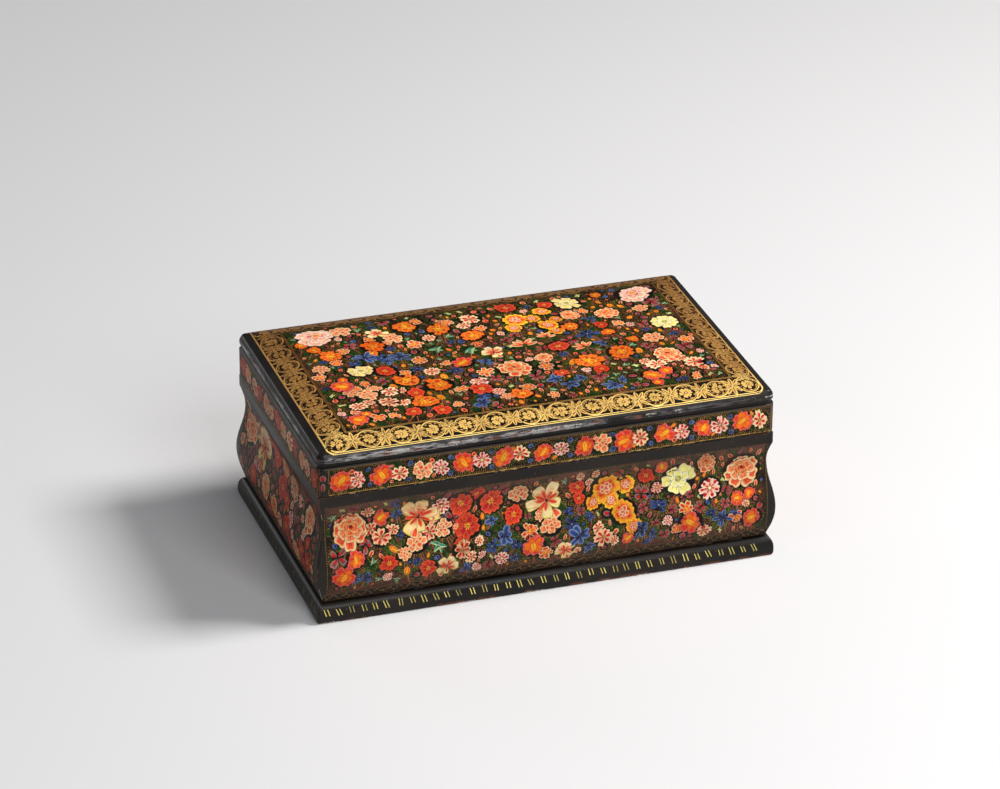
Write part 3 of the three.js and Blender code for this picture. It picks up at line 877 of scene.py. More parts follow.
blunt = dict(baseRound=0.9, tipRound=0.5)
heart = dict(baseRound=1.3, tipRound=0.55, skew=0.35)
pointed = dict(baseRound=1.0, tipRound=1.7)
flowerKinds = dict(
    rose=[
        ring(7, 0.36, 0.68, 0.84, "crimson", "coral", "cream", notch=0.1, rim=0.14, shift=-0.04,
             **blunt),
        streaks(22, 0.62, 0.28, "crimson"),
        ring(6, 0.16, 0.58, 0.76, "crimson", "salmon", "cream", pitch=0.4, rim=0.14, shift=0.05,
             **blunt),
        streaks(12, 0.36, 0.28, "crimson", shift=0.05),
        ring(4, -0.02, 0.52, 0.68, "crimson", "coral", "peach", pitch=0.3, rim=0.16, shift=0.1, **blunt),
        ring(3, -0.12, 0.38, 0.50, "wine", "vermilion", "peach", rim=0.2, shift=0.14, **blunt),
        dots(1, -0.07, 0.16, "wine", shift=0.14),
    ],
    pinkRose=[
        ring(7, 0.36, 0.68, 0.84, "crimson", "blush", "pinkWhite", notch=0.1, rim=0.2, shift=-0.04,
             **blunt),
        streaks(22, 0.62, 0.26, "coral"),
        ring(6, 0.16, 0.58, 0.76, "crimson", "blush", "ivory", pitch=0.4, rim=0.2, shift=0.05, **blunt),
        streaks(12, 0.36, 0.26, "coral", shift=0.05),
        ring(4, -0.02, 0.52, 0.66, "crimson", "rosePink", "pinkWhite", pitch=0.3, rim=0.2, shift=0.1,
             **blunt),
        ring(3, -0.12, 0.38, 0.50, "wine", "salmon", "cream", rim=0.25, shift=0.14, **blunt),
        dots(3, 0.02, 0.10, "amber", shift=0.14),
    ],
    marigold=[
        ring(7, 0.30, 0.70, 0.72, "crimson", "orange", "orange", notch=0.14, rim=0.14, loose=0.14,
             **blunt),
        streaks(16, 0.50, 0.34, "crimson"),
        ring(6, 0.12, 0.60, 0.56, "wine", "vermilion", "amber", pitch=0.5, rim=0.2, loose=0.18, **blunt),
        ring(5, 0.0, 0.42, 0.34, "crimson", "orange", "yellow", pitch=0.2, rim=0.3, loose=0.2, **blunt),
        streaks(7, 0.20, 0.34, "wine"),
        ring(1, -0.2, 0.42, 0.2, "yellow", "yellow", "amber", flat=True),
    ],
    sunOrange=[
        ring(6, 0.16, 0.86, 0.92, "crimson", "vermilion", "rosePink", notch=0.12, rim=0.22, loose=0.12,
             **blunt),
        ring(5, 0.06, 0.66, 0.62, "vermilion", "orange", "orange", rim=0.3, loose=0.16, **blunt),
        ring(1, -0.48, 0.96, 0.46, "amber", "yellow", "amber", flat=True, rim=0.4),
        streaks(2, -0.34, 0.7, "vermilion", spread=14),
    ],
    anemone=[
        ring(6, 0.16, 0.84, 0.72, "wine", "vermilion", "cream", notch=0.12, rim=0.2, loose=0.16,
             **blunt),
        streaks(10, 0.40, 0.36, "crimson"),
        ring(4, 0.04, 0.52, 0.50, "crimson", "orange", "peach", pitch=0.5, rim=0.2, loose=0.2, **blunt),
        flecks(1, -0.2, 0.40, 0.22, "yellow", "yellow", "amber"),
    ],
    blossom=[
        ring(6, 0.12, 0.88, 0.70, "crimson", "blush", "cream", notch=0.16, rim=0.2, **heart),
        flecks(6, 0.26, 0.50, 0.30, "wine", "crimson", "vermilion", skew=0.4),
        flecks(1, -0.13, 0.26, 0.26, "lemon", "yellow", "moss"),
        dots(3, 0.04, 0.08, "wine"),
    ],
    spotted=[
        ring(7, 0.14, 0.86, 0.60, "crimson", "blush", "pinkWhite", notch=0.1, rim=0.2, **heart),
        flecks(7, 0.50, 0.34, 0.30, "wine", "crimson", "crimson"),
        flecks(7, 0.16, 0.34, 0.09, "crimson"),
        flecks(1, -0.14, 0.28, 0.28, "ivory", "lemon", "lemon"),
    ],
    narcissus=[
        ring(6, 0.16, 0.88, 0.78, "teal", "lemon", "cream", notch=0.08, rim=0.2, fade=0.4, **heart),
        streaks(14, 0.34, 0.38, "moss"),
        ring(5, 0.04, 0.52, 0.56, "moss", "lemon", "ivory", pitch=0.5, rim=0.2, fade=0.3, **blunt),
        flecks(1, -0.17, 0.34, 0.34, "pale", "lemon", "moss"),
        dots(4, 0.04, 0.08, "oldGold"),
    ],
    creamRose=[
        ring(5, 0.28, 0.72, 0.84, "crimson", "salmon", "cream", notch=0.1, rim=0.13, **blunt),
        streaks(12, 0.55, 0.30, "vermilion"),
        ring(4, 0.10, 0.52, 0.62, "crimson", "coral", "cream", pitch=0.5, rim=0.16, shift=0.06, **blunt),
        ring(3, -0.04, 0.36, 0.40, "wine", "salmon", "cream", pitch=0.2, rim=0.25, shift=0.1, **blunt),
        dots(1, -0.08, 0.14, "wine", shift=0.1),
    ],
    poppy=[
        ring(7, 0.24, 0.76, 0.80, "wine", "vermilion", "coral", notch=0.12, rim=0.18, loose=0.14,
             **blunt),
        ring(5, 0.08, 0.58, 0.60, "wine", "crimson", "coral", rim=0.2, loose=0.2, **blunt),
        streaks(18, 0.40, 0.44, "wine"),
        flecks(8, 0.06, 0.24, 0.10, "oldGold", "amber"),
        dots(1, -0.10, 0.20, "oldGold"),
    ],
    ruffled=[
        ring(7, 0.36, 0.64, 0.76, "vermilion", "amber", "yellow", notch=0.1, rim=0.24, **blunt),
        ring(6, 0.18, 0.52, 0.60, "crimson", "vermilion", "amber", pitch=0.5, rim=0.16, **blunt),
        ring(5, 0.06, 0.40, 0.46, "wine", "coral", "cream", pitch=0.2, rim=0.2, **blunt),
        ring(3, -0.04, 0.28, 0.30, "wine", "coral", "ivory", rim=0.3, **blunt),
    ],
    iris=[
        ring(6, 0.10, 0.84, 0.50, "navy", "blue", "sky", rim=0.14, loose=0.26, baseRound=1.1,
             tipRound=1.2),
        streaks(6, 0.20, 0.50, "slate"),
        ring(5, 0.0, 0.50, 0.34, "navy", "navy", "slate", pitch=0.5, loose=0.3, **pointed),
        dots(1, -0.08, 0.16, "navy"),
    ],
    larkspur=[
        ring(5, 0.06, 0.94, 0.50, "navy", "blue", "slate", notch=0.1, rim=0.16, loose=0.18, **heart),
        flecks(5, 0.22, 0.46, 0.16, "navy"),
        dots(1, -0.10, 0.20, "sky"),
    ],
    dusky=[
        ring(4, 0.14, 0.86, 0.70, "wine", "mauve", "lilac", rim=0.3, loose=0.2, **heart),
        flecks(4, 0.30, 0.46, 0.36, "wine", "crimson"),
        dots(1, -0.10, 0.20, "dusk"),
    ],
    magnolia=[
        ring(5, 0.10, 0.94, 0.62, "crimson", "cream", "lemon", spread=300, rim=0.16, loose=0.14,
             **heart),
        ring(3, 0.04, 1.08, 0.70, "crimson", "cream", "cream", spread=110, rim=0.16, fade=0.7, **heart),
        ring(8, 0.12, 0.60, 0.22, "crimson", "vermilion", "salmon", flat=True, spread=300, **pointed),
        streaks(13, 0.50, 0.36, "coral", spread=250),
        ring(1, 0.02, 0.60, 0.44, "crimson", "coral", "cream", pitch=0.5, rim=0.25, shift=-0.6, **heart),
        dots(2, 0.0, 0.12, "wine"),
    ],
    lily=[
        ring(5, 0.0, 1.25, 0.50, "crimson", "salmon", "cream", spread=150, rim=0.24, **pointed),
        flecks(5, 0.12, 0.66, 0.16, "vermilion", spread=150),
        ring(3, -0.30, 0.55, 0.30, "forest", "green", "moss", spread=60, fine=False),
    ],
    bud=[
        ring(1, -0.75, 1.6, 0.90, "crimson", "vermilion", "cream", rim=0.3, baseRound=0.8, tipRound=1.5),
        flecks(1, -0.45, 0.9, 0.36, "crimson", "crimson", "coral"),
        ring(3, -0.95, 0.62, 0.24, "forest", "green", spread=110, fine=False, **pointed),
    ],
    orangeBud=[
        ring(1, -0.70, 1.5, 0.90, "vermilion", "orange", "amber", rim=0.3, baseRound=0.8, tipRound=1.3),
        flecks(2, -0.50, 0.9, 0.14, "yellow", spread=16),
        ring(3, -0.95, 0.55, 0.24, "forest", "moss", spread=110, fine=False, **pointed),
    ],
    pod=[
        ring(1, -0.80, 1.6, 1.2, "dusk", "mauve", "lilac", rim=0.4, baseRound=0.9, tipRound=1.1),
        flecks(1, -0.45, 0.9, 0.6, "wine", "crimson"),
    ],
    berry=[
        ring(1, -0.85, 1.7, 1.6, "blue", "slate", "slate", rim=0.4),
        flecks(1, -0.5, 1.0, 0.9, "navy", "navy", "blue"),
        dots(1, 0.1, 0.24, "sky"),
    ],
    spot=[
        ring(1, -0.8, 1.6, 1.5, "crimson", "coral", "salmon", rim=0.4, fine=False),
        dots(1, -0.3, 0.6, "wine"),
    ],
    leaves=[
        ring(5, -0.1, 1.25, 0.54, "forest", "green", "moss", rim=0.10, spread=250, plain=True,
             **pointed),
        streaks(3, 0.0, 1.0, "moss", spread=125),
    ],
    clump=[
        ring(6, -0.3, 1.2, 0.60, "forest", "forest", "green", rim=0.3, fine=False, loose=0.3),
        ring(4, -0.2, 1.0, 0.36, "forest", "green", "green", fine=False, loose=0.3, **pointed),
    ],
    curled=[
        ring(2, -0.7, 1.7, 0.62, "teal", "teal", "sea", other="pale", half=0.6, rim=0.3, spread=70,
             bend=0.5, **pointed),
        streaks(1, -0.5, 1.2, "ivory"),
    ],
    paleLeaf=[
        ring(2, -0.8, 1.6, 0.56, "moss", "pale", "sea", other="lemon", half=0.7, rim=0.25, spread=50,
             **pointed),
        streaks(2, -0.6, 1.2, "moss", spread=50),
    ],
    giltFlower=[
        ring(6, 0.14, 0.86, 0.62, "earth", "gold", "brightGold", notch=0.14, rim=0.35, fade=0.2,
             loose=0.1, **heart),
        dots(1, -0.26, 0.52, "umber"),
        dots(1, -0.15, 0.30, "brightGold"),
    ],
    giltLeaves=[
        ring(3, 0.08, 0.90, 0.32, "earth", "gold", "brightGold", spread=80, loose=0.07, fade=0.3,
             baseRound=0.8, tipRound=1.4),
        ring(2, 0.14, 0.50, 0.24, "earth", "gold", "brightGold", spread=146, loose=0.07, **pointed),
        flecks(3, 0.24, 0.56, 0.07, "umber", spread=80, loose=0.02),
    ],
)


# Drawn things. A random heading is anywhere in a little over a whole turn.
anyTurn = (0, 6.3)
flower = dict(squash=(0.76, 1), toneSpread=0.08, warmSpread=0.06, outlinedFrom=4.4)


def drawFlower(art, kind, x, y, radius, turn, lift, tone=1.0, gilt=0.0, squash=None):
    # The flower is squashed along a random axis, so each dab's heading and length are squashed with it
    random = art.random
    squash = squash or random.uniform(*flower["squash"])
    axis = random.uniform(0, math.pi)
    tone = tone * random.normal(1, flower["toneSpread"])
    warm = random.normal(0, flower["warmSpread"]) * (gilt == 0)
    for part in flowerKinds[kind]:
        count, loose = part["count"], part["loose"]
        spread = math.radians(part["spread"])
        order = np.arange(count)
        if part["spread"] == 360:
            angle = turn + (order + part["pitch"]) * spread / count
        else:
            angle = turn + (order - (count - 1) / 2) * spread / max(count - 1, 1)
        angle = angle + random.normal(0, loose, count) * (count > 1)
        ahead, across = np.cos(angle - axis), squash * np.sin(angle - axis)
        grown = np.hypot(ahead, across)
        heading = axis + np.arctan2(across, ahead)
        out = part["start"] * radius * grown
        outlined = radius > flower["outlinedFrom"] and not part["plain"]
        grid = "coarse" if not part["fine"] else "outlined" if outlined else "fine"
        art.dab(grid, x=x + part["shift"] * radius * math.cos(turn) + out * np.cos(heading),
                y=y + part["shift"] * radius * math.sin(turn) + out * np.sin(heading), turn=heading,
                length=part["length"] * radius * grown * random.normal(1, loose, count),
                width=part["width"] * radius * squash / grown * random.normal(1, loose, count),
                lift=lift + (0 if part["flat"] else painting["step"]) * order,
                tone=tone, warm=warm, gilt=gilt, **part["shape"], **part["colours"])
        lift += painting["step"] * (2 if part["flat"] else count + 1)


def drawTicks(art, x, y, radius, spacing=1.3):
    # short gold hairs that stand out round a flower, as a comb
    random = art.random
    count = max(int(2 * math.pi * radius / spacing), 6)
    angle = np.arange(count) * 2 * math.pi / count
    out = radius * random.uniform(0.88, 1.0, count)
    art.giltHairs(x=x + out * np.cos(angle), y=y + out * np.sin(angle), turn=angle + 0.35,
                  length=2.2 * random.uniform(0.7, 1.25, count), width=0.28, curl=-1.1, colour="gold",
                  tone=random.uniform(0.2, 0.8) * random.uniform(0.7, 1.1, count), lift=0.02)


def drawTendrils(art, low, high, count, colour, size=(3, 7), width=0.26, lift=-0.01, tone=1.0):
    # loose curls over the whole ground
    random = art.random
    place = random.uniform(low, high, (count, 2))
    sign = random.choice([-1, 1], count)
    art.giltHairs(grid="fine", x=place[:, 0], y=place[:, 1], turn=random.uniform(0, 2 * math.pi, count),
                  length=random.uniform(*size, count), width=width,
                  curl=sign * random.uniform(2.5, 7, count), coil=1.7, taper=0.5, lift=lift,
                  colour=colour, tone=random.uniform(0.25, 0.9, count) * tone)


def drawStem(art, x, y, turn, length, curl, width=0.8, lift=0.05):
    # a stem with a pale line along it
    art.line("fine", "stem", x=x, y=y, turn=turn, length=length, width=width, curl=curl, taper=0.45,
             lift=lift)
    art.line("fine", "tan", x=x + 0.2, y=y, turn=turn, length=length * 0.8, width=width * 0.3, curl=curl,
             taper=0.5, lift=lift + painting["step"])


def drawComb(art, left, right, height, reach, spacing=1.25, curl=0.9):
    # a row of short curved strokes that hang from a line, or stand on it where reach is above 0
    random = art.random
    x = np.arange(left, right, spacing)
    art.giltHairs(x=x + random.normal(0, 0.1, len(x)), y=height, turn=math.copysign(1.35, reach),
                  length=abs(reach) * random.uniform(0.7, 1.2, len(x)), width=0.3, taper=0.6,
                  curl=math.copysign(curl, reach), tone=random.uniform(0.25, 0.75, len(x)),
                  colour="gold", lift=0.015)


# How blooms fill a garden: the sizes, tries and most in 100 square centimetres of each lot, and how
# close they may come. Each try takes a random place, kept where it is clear of all that are there.
scattering = [
    dict(sizes=(6, 8), tries=900, most=5, packing=0.88),
    dict(sizes=(4.2, 6), tries=2000, most=12, packing=0.86),
    dict(sizes=(2.8, 4), tries=3000, most=26, packing=0.9),
    dict(sizes=(2.2, 3.4), tries=4000, most=46, packing=0.9),
    dict(sizes=(1.2, 2.0), tries=3000, most=26, packing=0.9),
]


def scatter(art, placed, kinds, share, lot):
    random = art.random
    added = 0
    for _ in range(lot["tries"]):
        if added >= int(lot["most"] * share):
            break
        radius = random.uniform(*lot["sizes"])
        inset = radius * 0.85 + 0.6
        spot = random.uniform(art.low + inset, art.high - inset)
        kind = kinds[random.integers(len(kinds))]
        others = np.array([bloom[1:] for bloom in placed])
        gaps = np.hypot(others[:, 0] - spot[0], others[:, 1] - spot[1])
        if np.all(gaps > lot["packing"] * (others[:, 2] + radius)):
            placed.append((kind, spot[0], spot[1], radius))
            added += 1


# What lies under the blooms. The counts are for 100 square centimetres.
foliage = dict(curls=440, darkCurls=420, clumps=60, clumpSize=(4.5, 8), clumpTone=(0.6, 1.3),
               hairsFrom=2, leavesFrom=4.0, leafSize=(1.1, 1.4), leafTone=(0.4, 0.9), brighter=1.7,
               stemLean=0.35, stemLength=(2, 3.4), stemCurl=0.4, budTo=5.4)


def paintCurls(art, share):
    drawTendrils(art, art.low, art.high, int(foliage["curls"] * share), "oldGold", tone=0.8)
    drawTendrils(art, art.low, art.high, int(foliage["darkCurls"] * share), "darkGold", lift=-0.014)


def paintLeaves(art, share, blooms, bright):
    # clumps of leaves, with hairs, leaves and stems behind each bloom
    random = art.random
    for _ in range(int(foliage["clumps"] * share)):
        x, y = random.uniform(art.low, art.high)
        size = random.uniform(*foliage["clumpSize"])
        drawFlower(art, "clump", x, y, size, random.uniform(*anyTurn), -0.004,
                   random.uniform(*foliage["clumpTone"]))
        drawTicks(art, x, y, size * 0.9, spacing=1.8)
    for _, x, y, radius in blooms:
        if radius > foliage["hairsFrom"]:
            drawTicks(art, x, y, radius, spacing=1.5)
        if radius > foliage["leavesFrom"]:
            size = radius * random.uniform(*foliage["leafSize"])
            drawFlower(art, "leaves", x, y, size, random.uniform(*anyTurn), 0.024,
                       random.uniform(*foliage["leafTone"]) * bright)
            for _ in range(random.integers(1, 4)):
                hanging = random.normal(0, foliage["stemLean"]) - math.pi / 2
                drawStem(art, x, y, hanging, radius * random.uniform(*foliage["stemLength"]),
                         random.normal(0, foliage["stemCurl"]))


# Kinds of smaller bloom that go with each kind
friends = dict(
    marigold=("anemone", "anemone", "creamRose", "marigold", "orangeBud"),
    poppy=("poppy", "dusky", "spotted"), magnolia=("magnolia", "blossom", "spotted"),
    sunOrange=("sunOrange", "anemone"), iris=("iris", "larkspur"), blossom=("blossom",),
    creamRose=("creamRose",), ruffled=("ruffled",),
)
companion = dict(size=(0.55, 0.78), largest=6.1, away=(0.70, 0.84), apart=(1.6, 3.0), inset=0.85)


def companions(art, placed):
    # one or two smaller blooms, half hidden behind each placed one
    random, found = art.random, []
    for kind, x, y, radius in placed:
        if kind not in friends:
            continue
        angle = random.uniform(0, 2 * math.pi)
        for _ in range(random.integers(1, 3)):
            size = min(radius * random.uniform(*companion["size"]), companion["largest"])
            away = (radius + size) * random.uniform(*companion["away"])
            spot = np.array([x + away * math.cos(angle), y + away * math.sin(angle)])
            angle += random.uniform(*companion["apart"])
            inset = size * companion["inset"]
            if np.all(spot - inset > art.low) and np.all(spot + inset < art.high):
                found.append((str(random.choice(friends[kind])), spot[0], spot[1], size))
    return found


# How blooms lie: lifts of small and large ones, and the dark disc that rims each of them from below
blooming = dict(lift=0.10, largeLift=0.14, largeFrom=6.2, fineFrom=3, discDrop=0.03, discReach=1.04,
                smallDisc=0.6)
upright = ("lily", "magnolia", "bud", "orangeBud", "rose", "pinkRose", "creamRose")
discless = ("bud", "orangeBud", "lily", "curled", "paleLeaf", "magnolia")
smallDiscs = ("iris", "larkspur", "dusky")


def paintBlooms(art, blooms):
    random = art.random
    for kind, x, y, radius in blooms:
        up = kind in upright
        turn = math.pi / 2 + random.normal(0, 0.5) if up else random.uniform(0, 2 * math.pi)
        large = radius > blooming["largeFrom"]
        lift = 0.002 * random.uniform() + blooming["largeLift" if large else "lift"]
        if kind not in discless:
            reach = radius * blooming["smallDisc" if kind in smallDiscs else "discReach"] + 0.2
            grid = "wide" if large else "fine" if radius > blooming["fineFrom"] else "coarse"
            art.dab(grid, "umber", "black", x=x - reach, y=y, length=2 * reach, width=2 * reach * 0.92,
                    lift=lift - blooming["discDrop"])
        drawFlower(art, kind, x, y, radius, turn, lift)


# Kinds of bloom that fill a garden round the placed ones: large, medium and small ones, and buds
gardenMixes = dict(
    lid=(["marigold", "anemone", "poppy", "rose", "lily", "creamRose", "ruffled", "magnolia"],
         ["anemone", "marigold", "iris", "larkspur", "poppy", "dusky", "anemone", "blossom", "dusky"],
         ["orangeBud", "spotted", "dusky", "curled", "bud", "orangeBud", "larkspur", "pod", "paleLeaf",
          "bud"],
         ["bud", "orangeBud", "pod", "berry", "spot", "bud", "pod", "curled"]),
    wall=(["poppy", "sunOrange", "rose", "creamRose", "magnolia"],
          ["dusky", "blossom", "poppy", "sunOrange", "iris", "spotted", "dusky"],
          ["dusky", "spotted", "bud", "orangeBud", "larkspur", "pod", "curled", "bud", "blossom",
           "dusky"],
          ["bud", "orangeBud", "pod", "berry", "pod", "bud", "pod", "paleLeaf"]),
    left=(["poppy", "rose", "dusky", "poppy", "rose"],
          ["dusky", "blossom", "poppy", "rose", "spotted", "dusky"],
          ["dusky", "spotted", "bud", "pod", "bud", "blossom", "dusky"],
          ["bud", "pod", "spot", "bud", "pod", "orangeBud"]),
)


def paintGarden(seed, name, area, surface, body, placed, washes, mix, age=None, apart=False):
    # ground, leaves and blooms, round the listed blooms; apart makes more and smaller pieces
    art = Painting(seed, area, age)
    share = np.prod(art.high - art.low) / 10000
    large, medium, small, buds = gardenMixes[mix]
    blooms = list(placed) + companions(art, placed)
    for kinds, lot in zip((large, medium, small, buds, buds), scattering):
        scatter(art, blooms, kinds, share, lot)
    art.wash(washes)
    paintCurls(art, share)
    if apart:
        art.lay(name + "_ground", surface, body)
        art = Painting(seed + 3, area, age)
    paintLeaves(art, share, blooms, 1 if apart else foliage["brighter"])
    art.lay(name + ("_leaves" if apart else "_ground"), surface, body)
    groups = [("_blooms", blooms)]
    if apart:
        groups = [("_buds", [bloom for bloom in blooms if bloom[3] <= foliage["budTo"]]),
                  ("_blooms", [bloom for bloom in blooms if bloom[3] > foliage["budTo"]])]
    for index, (ending, group) in enumerate(groups):
        art = Painting(seed + 1 + 3 * index, area, age)
        paintBlooms(art, group)
        art.lay(name + ending, surface, body)


def veil(low, high, least, most, colour="dustAndSheen"):
    # painted sheen and shade: the paint is drawn towards one colour, least at mid height and most at
    # the low and high edges
    def aged(place, paint):
        share = np.abs((place[:, 1:2] - low) / (high - low) * 2 - 1)
        return paint + (palette[colour] - paint) * (least + (most - least) * share ** 3)
    return aged


# Lid top: the flower field
field = dict(left=-127.5, right=127.5, front=-74, back=74)
lidBlooms = [
    ("pinkRose", -109, 60, 12.5), ("pinkRose", 110, 59, 12.5), ("narcissus", -95, 3, 9.5),
    ("rose", 0, -23, 12), ("narcissus", 63, 59, 9.5), ("narcissus", 115, 13, 10),
    ("creamRose", -101, -31, 8), ("blossom", -91, -45, 7.5), ("blossom", -111, -45, 6.5),
    ("blossom", -86, -31, 6.5), ("rose", 101, -33, 10), ("blossom", 113, -49, 7.5),
    ("blossom", 89, -45, 7), ("marigold", -71, -19, 9), ("marigold", -53, -31, 9.5),
    ("marigold", -69, -51, 9), ("marigold", -49, 57, 9.5), ("marigold", -29, 47, 8.5),
    ("sunOrange", -113, -15, 8), ("marigold", 49, -27, 9.5), ("marigold", 73, -21, 9.5),
    ("sunOrange", 81, -59, 8), ("ruffled", 23, 45, 9), ("ruffled", 41, 31, 8),
    ("marigold", -77, 35, 8.5), ("creamRose", -61, 43, 7), ("blossom", -5, 55, 8),
    ("marigold", -11, 31, 8.5), ("poppy", 37, -1, 8), ("lily", 17, 7, 8), ("sunOrange", -29, -5, 8),
    ("marigold", -107, 29, 8), ("iris", -87, 21, 8.5), ("iris", -65, 15, 7.5), ("iris", 27, -55, 8.5),
    ("larkspur", 61, 11, 7.5), ("poppy", -29, -45, 8.5), ("sunOrange", -116, -63, 7),
    ("rose", 83, 37, 8.5), ("iris", -35, -64, 7.5), ("curled", -39, 19, 6.5), ("curled", -19, 11, 6),
    ("iris", 53, -64, 7), ("marigold", -7, -59, 8),
]
paintGarden(11, "lid", ((field["left"], field["front"]), (field["right"], field["back"])), topSurface,
            "lid", lidBlooms, [("black", "forest"), ("black", "earth"), ("black", "forest")], "lid",
            apart=True)


# Gilt border round the field: scrolls, each round a flower, with leaves between them. Red, green and
# blue give its tone at the front, a little behind it and at the back. The tone is painted light: bright
# yellow gold at the front, shaded brown towards the back.
border = dict(endInset=7.3, sideInset=1.8, groundInset=2.6, corner=4, outer=1.0, inner=0.35,
              gap=1.1, radius=8.0, room=8.2, along=14, deep=10, red=(1.02, 0.70, 0.42),
              green=(0.98, 0.56, 0.31), blue=(1.30, 0.70, 0.42))


def arcPoints(x, y, radius, start, sweep, shrink=0.0, steps=26):
    # an arc whose radius shrinks by a share over the sweep
    share = np.linspace(0, 1, steps)
    angle = start + sweep * share
    reach = radius * (1 - shrink * share ** 2)
    return np.stack([x + reach * np.cos(angle), y + reach * np.sin(angle)], 1)


# The parts of a scroll, as shares of its radius, with turns in radians
roundel = dict(scroll=0.94, scrollTurn=5.7, scrollShrink=0.09, scrollWidth=0.135, thinning=0.065,
               steps=34, ring=0.79, ringStart=0.7, ringTurn=4.7, ringShrink=0.05, ringWidth=0.045,
               leaves=10, leafRing=0.77, leafLean=0.8, leafLength=(0.18, 0.3), leafWidth=0.11,
               flower=0.565)


def drawRoundel(art, x, y, radius, along, sense):
    # a scroll that winds inwards, a thin ring and small leaves inside it, and a flower
    gilt, random = painting["gilt"], art.random
    radius = radius * random.normal(1, 0.02)
    start = along + math.pi + sense * random.uniform(0.1, 0.8)
    steps, count, out = roundel["steps"], roundel["leaves"], roundel["leafRing"] * radius
    scroll = arcPoints(x, y, radius * roundel["scroll"], start, sense * roundel["scrollTurn"],
                       roundel["scrollShrink"], steps)
    width = radius * (roundel["scrollWidth"] - roundel["thinning"] * np.linspace(0, 1, steps))
    art.ribbon(scroll, width, "brightGold", 0.02, gilt)
    ring = arcPoints(x, y, radius * roundel["ring"], start + sense * roundel["ringStart"],
                     sense * roundel["ringTurn"], roundel["ringShrink"])
    art.ribbon(ring, radius * roundel["ringWidth"], "gold", 0.022, gilt)
    angle = np.arange(count) * 2 * math.pi / count + random.normal(0, 0.12, count)
    art.dab("coarse", "oldGold", "gold", x=x + out * np.cos(angle), y=y + out * np.sin(angle),
            turn=angle + math.pi - sense * roundel["leafLean"], tipRound=1.6, lift=0.024, gilt=gilt,
            length=radius * random.uniform(*roundel["leafLength"], count),
            width=radius * roundel["leafWidth"])
    drawFlower(art, "giltFlower", x, y, radius * roundel["flower"], random.uniform(*anyTurn), 0.03, 1.0,
               gilt, 0.94)


def drawGap(art, x, y, radius, along):
    # leaves and curls above and below the place where two scrolls meet
    random, gilt = art.random, painting["gilt"]
    for up in (along + math.pi / 2, along - math.pi / 2):
        drawFlower(art, "giltLeaves", x, y, border["room"], up + random.normal(0, 0.06), 0.024, 1.0,
                   gilt, 0.98)
    angle = along + np.array([0.9, 2.24, -0.9, -2.24]) + random.normal(0, 0.1, 4)
    art.giltHairs(grid="fine", x=x, y=y, turn=angle, length=radius * 0.95, width=0.5,
                  curl=[-2.4, 2.4, 2.4, -2.4], coil=2.0, colour="brightGold", lift=0.07)


def drawBand(art, starts, ends, count, corners):
    # a row of scrolls from one place to another; corners says whether the first and last are drawn
    radius = border["radius"]
    ends, starts = np.array(ends, float), np.array(starts, float)
    along = math.atan2(*(ends - starts)[::-1])
    for index in range(count):
        place = starts + (ends - starts) * index / (count - 1)
        if corners or 0 < index < count - 1:
            drawRoundel(art, *place, radius, along, 1 - 2 * (index % 2))
        if index < count - 1:
            middle = place + (ends - starts) * 0.5 / (count - 1)
            drawGap(art, *middle, radius, along)


def rectangle(left, right, front, back, corner, steps=240):
    # a closed run of points round a rectangle with rounded corners
    pieces = []
    middles = [(right - corner, front + corner, -90), (right - corner, back - corner, 0),
               (left + corner, back - corner, 90), (left + corner, front + corner, 180)]
    for x, y, start in middles:
        angle = np.radians(start + np.linspace(0, 90, 7))
        pieces.append(np.stack([x + corner * np.cos(angle), y + corner * np.sin(angle)], 1))
    points = np.concatenate([*pieces, pieces[0][:1]])
    run = np.concatenate([[0], np.cumsum(np.linalg.norm(np.diff(points, axis=0), axis=1))])
    share = np.unique(np.concatenate([run, np.linspace(0, run[-1], steps)]))
    return np.stack([np.interp(share, run, points[:, k]) for k in range(2)], 1)


# painted light: the gold is scaled by how far back it lies, bright at the front and shaded brown behind
def agedGilt(place, colour):
    steps = field["front"] - 4, field["front"] + 10, boxWidth / 2
    share = [np.interp(place[:, 1], steps, border[name]) for name in ("red", "green", "blue")]
    return colour * np.stack(share, 1)


def paintBorder():
    halfX, halfY = boxLength / 2 - border["endInset"], boxWidth / 2 - border["sideInset"]
    left, right, front, back = [field[key] for key in ("left", "right", "front", "back")]
    edge = border["outer"] / 2
    art = Painting(31, ((-halfX - edge, -halfY - edge), (halfX + edge, halfY + edge)), agedGilt)
    flat = boxWidth / 2 - border["groundInset"]
    for low, high in (((-halfX, -flat), (halfX, front)), ((-halfX, front), (left, flat)),
                      ((right, front), (halfX, flat)), ((left, back), (right, flat))):
        part = Painting(art.random.integers(1000), (low, high))
        part.wash([("black", "umber"), ("black", "umber")])
        art.bands += part.bands
        size = np.prod(part.high - part.low)
        drawTendrils(art, low, high, int(size / 13), "gold", (1.2, 2.6), 0.32, 0.0, 0.8)
    frames = [((-halfX, halfX, -halfY, halfY, border["corner"]), border["outer"], "brightGold", 1.1)]
    frames += [((left - out, right + out, front - out, back + out, 0.5), border["inner"], "gold", 0.8)
               for out in (0.2, border["gap"])]
    for sizes, width, colour, tone in frames:
        art.ribbon(rectangle(*sizes), width, colour, 0.05, painting["gilt"], tone)
    x, y = (right + border["gap"] + halfX) / 2, (back + border["gap"] + halfY) / 2
    drawBand(art, (-x, -y), (x, -y), border["along"], True)
    drawBand(art, (-x, -y), (-x, y), border["deep"], False)
    drawBand(art, (x, -y), (x, y), border["deep"], False)
    drawBand(art, (-x, y), (x, y), border["along"], True)
    art.lay("lid_border", topSurface, "lid")


paintBorder()
